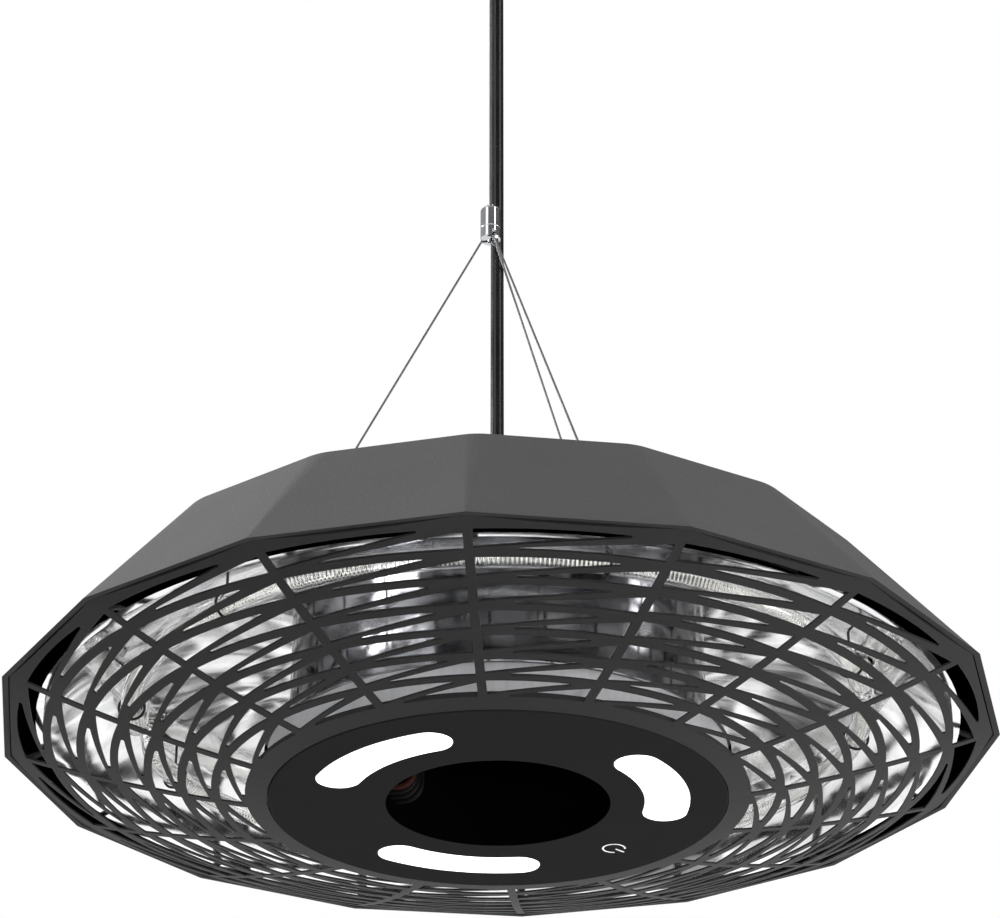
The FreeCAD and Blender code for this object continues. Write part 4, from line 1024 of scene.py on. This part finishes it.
@dataclass
class HeatingRing:
    """Reflector, drum, well and the two half-ring heating tubes with their wound filaments."""

    shop: Workshop
    ring: float = 0.220
    level: float = RIM + 0.015
    bend: float = 0.016
    top: float = RIM + 0.0553
    parting: float = 175
    clear: float = 8
    coil: float = 0.0037
    wire: float = 0.00034
    pitch: float = 0.0025
    arcs: int = 26
    knees: tuple[float, float] = (22.5, 67.5)
    straight: float = 0.004
    fineness: int = 12

    def half_route(self, half: float) -> Route:
        """Lay the middle line of one half ring with both ends turned up.

        Args:
            half: Direction of the half in degrees.

        Returns:
            The line that a filament follows.
        """
        start = math.radians(self.parting + half + self.clear)
        end = math.radians(self.parting + half + 180 - self.clear)
        step = (end - start) / self.arcs
        arc = [start + step * (index + 0.5) for index in range(self.arcs)]
        reach = self.ring / math.cos(step / 2)
        middle = [Vector((reach * math.cos(a), reach * math.sin(a), self.level)) for a in arc]

        def upturn(angle: float, sign: float) -> list[Vector]:
            """Give the turned-up end's points, from the ring outwards."""
            foot = Vector((self.ring * math.cos(angle), self.ring * math.sin(angle), self.level))
            away = Vector((-math.sin(angle), math.cos(angle), 0)) * sign
            radius = self.bend / math.cos(math.radians(self.knees[0]))
            centre = foot + Vector((0, 0, self.bend))
            bends = [centre + away * (radius * math.sin(math.radians(a)))
                     - Vector((0, 0, radius * math.cos(math.radians(a)))) for a in self.knees]
            tip = foot + away * self.bend
            heights = (self.level + self.bend + self.straight, self.top)
            return [*bends, *(Vector((tip.x, tip.y, height)) for height in heights)]

        first = list(reversed(upturn(start, -1)))
        return Route([tuple(point) for point in [*first, *middle, *upturn(end, 1)]], self.fineness)

    def build_filaments(self) -> None:
        """Wind both filaments."""
        whole = bmesh.new()
        for half in (0, 180):
            coil = self.shop.coiled(self.half_route(half), self.coil, self.wire, self.pitch)
            part = bpy.data.meshes.new("coil")
            coil.to_mesh(part)
            coil.free()
            whole.from_mesh(part)
            bpy.data.meshes.remove(part)
        self.shop.piece(whole, "filament_coils", "filament_alloy", Body.HEATER, "filament_metal",
                        ["filaments"], merge=False)

    def build(self) -> None:
        """Dress the metalwork and wind the filaments."""
        self.build_filaments()
        for node, finish, slot in (("reflector", "reflector_bright", "polished_sheet"),
                                   # The drum's finish carries painted shade.
                                   ("drum", "drum_painted_shade", "polished_sheet"),
                                   ("panel_carrier", "carrier_zinc", "plain_sheet"),
                                   # The centre well takes the near-black finish: its black paint together
                                   # with painted shade.
                                   ("centre_well", "black_and_painted_shade", "well_coat")):
            item = self.shop.piece(self.shop.welded(node), f"{node}_smooth", finish, Body.HEATER, slot,
                                   [node], merge=False)
            self.shop.weighted(item)
        for node, name, finish, slot in (
                ("quartz_tubes", "quartz_tubes_smooth", "quartz_clear", "quartz"),
                ("tube_clips", "tube_clips_smooth", "grille_paint", "grille_coat"),
                ("well_leads", "well_leads_sleeved", "lead_sleeving", "lead_sleeve")):
            self.shop.piece(self.shop.welded(node, flatten=False), name, finish, Body.HEATER, slot, [node],
                            merge=False)
        self.shop.trimmed_copy("tube_caps", "ceramic_white", Body.HEATER, "ceramic", 0.0008, 3)
        self.shop.trimmed_copy("thermal_cutout", "ceramic_white", Body.HEATER, "ceramic", 0.0008, 3)
        self.shop.coat("steel_bright", "support_posts")


@dataclass
class Bridle:
    """Three looped wires from the gripper to the eyebolts on the top plate."""

    shop: Workshop
    ring: float = 0.1538
    angle: float = 55.2
    eye_height: float = RIM + 0.0971
    hook_height: float = RIM + 0.367
    hook: float = 0.0044
    pair: float = 0.00078
    loop: float = 0.0045
    loop_middle: float = 0.00695
    neck: float = 0.01398
    sleeve: float = 0.009
    wire: float = 0.00075
    lay: float = 0.009
    looped: float = 0.0253
    tail: float = 0.0005
    half_bend: float = 22.5
    bow_angles: tuple[float, ...] = (158, 203, 248, 292, 337, 382)
    fineness: int = 48
    sides: int = 18
    step: float = 0.0006
    strands: int = 6
    groove: float = 0.2

    def route(self, heading: float) -> Route:
        """Lay one wire from the gripper down to its loop and back into the sleeve.

        Args:
            heading: Direction of the wire in radians.

        Returns:
            The wire's line.
        """
        eye = Vector((self.ring * math.cos(heading), self.ring * math.sin(heading), self.eye_height))
        hook = Vector((HANG_X, 0, self.hook_height))
        out = Vector((eye.x - hook.x, eye.y - hook.y, 0)).normalized()
        aside = Vector((-out.y, out.x, 0))
        run = hook + out * self.hook - eye
        onward = run.normalized()

        def spot(side: float, up: float) -> Point:
            """Give a point beside and along the wire's line."""
            return tuple(eye + aside * (self.pair + side) + onward * up)

        reach = self.loop / math.cos(math.radians(self.half_bend))
        turns = [math.radians(angle) for angle in self.bow_angles]
        bow = [spot(reach * math.cos(a), self.loop_middle + reach * math.sin(a)) for a in turns]
        return Route([spot(-self.pair, run.length), spot(-self.pair, run.length / 2),
                      spot(-self.pair, self.neck + self.sleeve), spot(-self.pair, self.neck), *bow,
                      spot(self.pair, self.neck), spot(self.pair, self.neck + self.sleeve - self.tail)],
                     self.fineness)

    def build_wires(self) -> None:
        for index in range(3):
            route = self.route(math.radians(self.angle + 120 * index))
            shape = self.shop.swept(route, self.wire, self.sides, self.step, self.strands, self.lay,
                                    self.groove)
            item = self.shop.piece(shape, f"bridle_wire_{index + 1}", "wire_steel", Body.HEATER, "steel",
                                   ["bridle_wires"], crease=60, merge=False)

    def build(self) -> None:
        """Build the wires and dress their fittings."""
        self.build_wires()
        self.shop.trimmed_copy("crimp_sleeves", "chrome_plate", Body.HEATER, "chrome_metal", 0.0002)
        self.shop.trimmed_copy("bridle_lugs", "chrome_plate", Body.HEATER, "chrome_metal", 0.0004)
        self.shop.trimmed_copy("lug_nuts", "steel_bright", Body.HEATER, "steel", 0.0003)


@dataclass
class Gripper:
    """Wire gripper with its slotted collar and release nozzle."""

    shop: Workshop

    def build(self) -> None:
        """Ease the gripper's edges."""
        self.shop.trimmed_copy("gripper_body", "chrome_plate", Body.HEATER, "chrome_metal", 0.0005, 3)
        self.shop.trimmed_copy("gripper_collar", "chrome_plate", Body.HEATER, "chrome_metal", 0.0004, 2)
        self.shop.trimmed_copy("gripper_nozzle", "chrome_plate", Body.NOZZLE, "chrome_metal", 0.0003, 2)


@dataclass
class HangingWire:
    """Stranded wire from the ceiling's ball socket to the gripper, with its stop and ball."""

    shop: Workshop
    low: float = RIM + 0.3677
    high: float = -0.026
    radius: float = 0.001
    lay: float = 0.012
    fineness: int = 64
    sides: int = 24
    step: float = 0.0008
    strands: int = 6
    groove: float = 0.2

    def build(self) -> None:
        """Lay the wire and dress its ends."""
        heights = (self.high, (self.low + self.high) / 2, self.low)
        route = Route([(HANG_X, 0, height) for height in heights], self.fineness)
        shape = self.shop.swept(route, self.radius, self.sides, self.step, self.strands, self.lay,
                                self.groove)
        item = self.shop.piece(shape, "hanging_wire_strands", "wire_steel", Body.SUSPENSION, "steel",
                               ["hanging_wire"], crease=60, merge=False)
        self.shop.coat("steel_bright", "wire_stop", "wire_ball")


@dataclass
class PowerCord:
    """Straight supply cord with its gland, nut and bend relief."""

    shop: Workshop
    x: float = -0.0014
    y: float = 0.0157
    high: float = -0.018
    low: float = RIM + 0.0776
    radius: float = 0.00435
    travel: float = 0.12
    fineness: int = 64
    sides: int = 40
    step: float = 0.01

    def build(self) -> None:
        """Lay the cord and dress its entry."""
        heights = (self.high, (self.low + self.high) / 2, self.low)
        route = Route([(self.x, self.y, height) for height in heights], self.fineness)
        shape = self.shop.swept(route, self.radius, self.sides, self.step)
        item = self.shop.piece(shape, "power_cord_jacket", "cord_black", Body.SUSPENSION, "cord_jacket",
                               ["power_cord"], merge=False)
        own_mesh(item)
        self.shop.trimmed_copy("cable_gland", "gland_black", Body.HEATER, "gland_plastic", 0.0005)
        self.shop.trimmed_copy("gland_nut", "gland_black", Body.HEATER, "gland_plastic", 0.0004)
        self.shop.trimmed_copy("cord_relief", "cord_black", Body.HEATER, "cord_jacket", 0.0004)


@dataclass
class CeilingFitting:
    """Ceiling plate, cover, ball socket, cord bush and cover screws."""

    shop: Workshop

    def build(self) -> None:
        """Dress the fitting."""
        self.shop.trimmed_copy("ceiling_cover", "cover_paint", Body.CEILING, "cover_coat", 0.0003)
        self.shop.trimmed_copy("ceiling_plate", "steel_bright", Body.CEILING, "steel", 0.0002)
        self.shop.trimmed_copy("cord_bush", "cord_black", Body.CEILING, "cord_jacket", 0.0004)
        self.shop.coat("steel_bright", "ball_socket", "cover_screws")


@dataclass(frozen=True)
class Lamp:
    """An area lamp: where it hangs, the point that it faces, its size in metres and its watts."""

    name: str
    place: Point
    aim: Point
    width: float
    height: float
    power: float


@dataclass(frozen=True)
class Felt:
    """A ring of grey felts round the heater, with the radius and height of its two edges.

    Its greys go round from the left side by shares of a turn. Light is how bright white felt is between the
    mirrors inside the dish, and plain how bright felt is at most in a single reflection.
    """

    name: str
    near: tuple[float, float]
    far: tuple[float, float]
    greys: Pairs
    light: float
    plain: float = 1.4


@dataclass
class Studio:
    """Camera, lamps, white surround, felts to mirror and a pale floor."""

    CORE_GREYS: ClassVar[Pairs] = (
        (0.0, 0.05), (0.08, 0.1), (0.12, 1.0), (0.54, 1.0), (0.6, 0.2), (0.7, 0.05), (1.0, 0.05))
    MID_GREYS: ClassVar[Pairs] = (
        (0.0, 0.04), (0.025, 0.05), (0.035, 1.0), (0.136, 1.0), (0.142, 0.002), (0.16, 0.001),
        (0.214, 0.0005), (0.24, 0.0002), (0.27, 0.0002), (0.3, 0.0005), (0.34, 0.001), (0.38, 0.0003),
        (0.43, 0.0025), (0.45, 0.02), (0.5, 0.035), (0.55, 0.014), (0.93, 0.01), (1.0, 0.04))
    RUG_GREYS: ClassVar[Pairs] = (
        (0.0, 0.05), (0.058, 0.06), (0.068, 1.0), (0.134, 1.0), (0.14, 0.002), (0.16, 0.001),
        (0.214, 0.0005), (0.24, 0.0002), (0.27, 0.0002), (0.3, 0.0005), (0.34, 0.001), (0.38, 0.0003),
        (0.43, 0.0025), (0.45, 0.02), (0.5, 0.035), (0.55, 0.014), (0.7, 0.013), (0.745, 0.013),
        (0.752, 0.025), (0.774, 0.025), (0.78, 0.013), (0.85, 0.012), (0.93, 0.01), (1.0, 0.05))
    FRONT_GREYS: ClassVar[Pairs] = (
        (0.0, 0.4), (0.08, 0.8), (0.14, 1.0), (0.36, 1.0), (0.4, 0.6), (0.44, 0.25), (0.5, 0.2),
        (0.56, 0.14), (0.7, 0.12), (0.78, 0.1), (0.9, 0.08), (1.0, 0.4))
    WALL_GREYS: ClassVar[Pairs] = (
        (0.0, 0.22), (0.1, 0.22), (0.11, 1.0), (0.175, 1.0), (0.19, 0.1), (0.35, 0.1), (0.44, 0.08),
        (0.59, 0.08), (0.61, 0.03), (0.75, 0.03), (0.8, 0.2), (1.0, 0.22))
    CARPET: ClassVar[float] = FLOOR + 0.01
    FELTS: ClassVar[tuple[Felt, ...]] = (
        Felt("felt_core", (0.3, CARPET), (0.97, CARPET), CORE_GREYS, 6.0),
        Felt("felt_mid", (0.97, CARPET), (2.9, CARPET), MID_GREYS, 88.0),
        Felt("felt_rug", (2.9, CARPET), (3.95, CARPET), RUG_GREYS, 88.0),
        Felt("felt_front", (4.0, CARPET), (5.9, -0.95), FRONT_GREYS, 14.0),
        Felt("felt_wall", (4.0, 0.6), (4.0, 4.0), WALL_GREYS, 2.4, 2.4),
    )
    MIDDLE: ClassVar[Point] = (0, 0, -0.6)
    LAMPS: ClassVar[tuple[Lamp, ...]] = (
        Lamp("key", (-2.75, 0.2, 0.1), MIDDLE, 1.4, 1.6, 125),
        Lamp("front", (0.2, -3.3, -2.0), MIDDLE, 3.6, 0.5, 26),
        Lamp("under", (0.9, -1.6, -2.1), MIDDLE, 1.0, 1.0, 8),
        Lamp("side", (2.2, -0.1, -2.0), MIDDLE, 0.7, 1.4, 75),
        Lamp("edge", (1.845, -1.198, 0.95), (0, 0, -0.2), 0.35, 1.6, 13),
    )
    eye: Point = (0.08580, -1.53939, -1.33329)
    tilt: float = 119.179
    pan: float = 3.19
    lens: float = 99.87
    shift: float = 0.00201
    sensor: float = 36.0
    ambient: float = 0.4
    floor_reach: float = 6.0
    felt_facets: int = 64

    def set_camera(self) -> None:
        """Stand the camera where the photograph was taken."""
        data = bpy.data.cameras.new("camera")
        data.lens = self.lens
        data.sensor_width = self.sensor
        data.shift_x = self.shift
        camera = bpy.data.objects.new("camera", data)
        camera.location = self.eye
        camera.rotation_euler = (math.radians(self.tilt), 0, math.radians(self.pan))
        bpy.context.scene.collection.objects.link(camera)
        bpy.context.scene.camera = camera

    def set_lamp(self, lamp: Lamp) -> None:
        """Hang an area lamp.

        Args:
            lamp: The lamp to hang.
        """
        data = bpy.data.lights.new(lamp.name, "AREA")
        data.shape = "RECTANGLE"
        data.size, data.size_y = lamp.width, lamp.height
        data.energy = lamp.power
        item = bpy.data.objects.new(lamp.name, data)
        item.location = lamp.place
        item.visible_camera = False
        item.rotation_euler = (Vector(lamp.aim) - Vector(lamp.place)).to_track_quat("-Z", "Y").to_euler()
        bpy.context.scene.collection.objects.link(item)

    def set_surround(self) -> None:
        """Give a white surround to the eye and to reflections, and an even light to the rest."""
        world = bpy.data.worlds.new("surround")
        bpy.context.scene.world = world
        world.use_nodes = True
        tree = world.node_tree
        tree.nodes.clear()
        path = tree.nodes.new("ShaderNodeLightPath")
        seen = tree.nodes.new("ShaderNodeMath")
        any_seen = tree.nodes.new("ShaderNodeMath")
        seen.operation = any_seen.operation = "MAXIMUM"
        light, white = (tree.nodes.new("ShaderNodeBackground") for _ in range(2))
        light.inputs["Strength"].default_value = self.ambient
        light.inputs["Color"].default_value = (1, 1, 1, 1)
        white.inputs["Color"].default_value = (1, 1, 1, 1)
        white.inputs["Strength"].default_value = 1.0
        mix = tree.nodes.new("ShaderNodeMixShader")
        output = tree.nodes.new("ShaderNodeOutputWorld")
        for source, target in ((path.outputs["Is Camera Ray"], seen.inputs[0]),
                               (path.outputs["Is Glossy Ray"], seen.inputs[1]),
                               (seen.outputs[0], any_seen.inputs[0]),
                               (path.outputs["Is Transmission Ray"], any_seen.inputs[1]),
                               (any_seen.outputs[0], mix.inputs["Fac"]),
                               (light.outputs[0], mix.inputs[1]), (white.outputs[0], mix.inputs[2]),
                               (mix.outputs[0], output.inputs["Surface"])):
            tree.links.new(source, target)

    def set_floor(self) -> None:
        """Lay a pale floor far below the heater."""
        bm = bmesh.new()
        bmesh.ops.create_grid(bm, x_segments=1, y_segments=1, size=self.floor_reach,
                              matrix=Matrix.Translation((0, 0, FLOOR)))
        mesh = bpy.data.meshes.new("floor")
        bm.to_mesh(mesh)
        bm.free()
        sheet = NodeSheet("floor_paint")
        cloud = sheet.noise(sheet.coordinates(), 2, 3)
        sheet.join(sheet.tones(cloud, [(0.3, (0.84, 0.84, 0.84, 1)), (0.7, (0.88, 0.88, 0.88, 1))]),
                   sheet.shader.inputs["Base Color"])
        sheet.fix(Roughness=0.9, Specular_IOR_Level=0.1)
        path = sheet.add("ShaderNodeLightPath")
        mirrored = sheet.add("ShaderNodeMath", operation="MAXIMUM")
        white = sheet.add("ShaderNodeEmission")
        mix = sheet.add("ShaderNodeMixShader")
        sheet.join(path.outputs["Is Glossy Ray"], mirrored.inputs[0])
        sheet.join(path.outputs["Is Transmission Ray"], mirrored.inputs[1])
        sheet.join(mirrored.outputs[0], mix.inputs["Fac"])
        sheet.join(sheet.shader.outputs["BSDF"], mix.inputs[1])
        sheet.join(white.outputs["Emission"], mix.inputs[2])
        sheet.join(mix.outputs["Shader"], sheet.tree.nodes["Material Output"].inputs["Surface"])
        mesh.materials.append(sheet.material)
        floor = bpy.data.objects.new("floor", mesh)
        bpy.context.scene.collection.objects.link(floor)

    def set_felt(self, felt: Felt) -> None:
        """Stand a ring of felts round the heater, for reflections alone to see.

        Args:
            felt: The ring to stand.
        """
        bm = bmesh.new()
        bm.edges.new([bm.verts.new((radius, 0, height)) for radius, height in (felt.near, felt.far)])
        bmesh.ops.spin(bm, geom=bm.verts[:] + bm.edges[:], cent=(0, 0, 0), axis=(0, 0, 1), dvec=(0, 0, 0),
                       angle=math.tau, steps=self.felt_facets, use_merge=True, use_duplicate=False)
        mesh = bpy.data.meshes.new(felt.name)
        bm.to_mesh(mesh)
        bm.free()
        sheet = NodeSheet(felt.name)
        parts = sheet.add("ShaderNodeSeparateXYZ")
        sheet.join(sheet.polar(), parts.inputs["Vector"])
        share = sheet.range(parts.outputs["X"], 0, 1, -math.pi, math.pi)
        cloth = sheet.tones(share, [(place, (grey, grey, grey, 1)) for place, grey in felt.greys])
        inside, single = (sheet.add("ShaderNodeMath", operation=kind) for kind in ("MULTIPLY", "MINIMUM"))
        inside.inputs[1].default_value, single.inputs[1].default_value = felt.light, felt.plain
        sheet.join(cloth, inside.inputs[0])
        sheet.join(inside.outputs["Value"], single.inputs[0])
        chosen = sheet.add("ShaderNodeMapRange")
        chosen.inputs["From Min"].default_value, chosen.inputs["From Max"].default_value = 1, 2
        sheet.join(sheet.add("ShaderNodeLightPath").outputs["Ray Depth"], chosen.inputs["Value"])
        sheet.join(single.outputs["Value"], chosen.inputs["To Min"])
        sheet.join(inside.outputs["Value"], chosen.inputs["To Max"])
        sheet.join(chosen.outputs["Result"], sheet.shader.inputs["Emission Strength"])
        sheet.fix(Base_Color=(0, 0, 0, 1), Specular_IOR_Level=0.0, Emission_Color=(1, 1, 1, 1))
        mesh.materials.append(sheet.material)
        ring = bpy.data.objects.new(felt.name, mesh)
        bpy.context.scene.collection.objects.link(ring)
        ring.visible_camera = ring.visible_diffuse = ring.visible_shadow = False

    def build(self) -> None:
        """Set up the whole studio."""
        bpy.context.scene.view_settings.view_transform = "Standard"
        self.set_camera()
        self.set_surround()
        self.set_floor()
        for felt in self.FELTS:
            self.set_felt(felt)
        for lamp in self.LAMPS:
            self.set_lamp(lamp)


def main() -> None:
    """Build the studio and the heater's sub-assemblies in order."""
    logging.basicConfig(level=logging.INFO, format="%(name)s %(message)s")
    shop = Workshop(Palette())
    assemblies = (Studio(), PowerCord(shop), HangingWire(shop), Bridle(shop), Gripper(shop), Shade(shop),
                  Grille(shop), Panel(shop), HeatingRing(shop), CeilingFitting(shop))
    for assembly in assemblies:
        assembly.build()
        LOG.info("%s done", type(assembly).__name__)


if __name__ == "__main__":
    main()
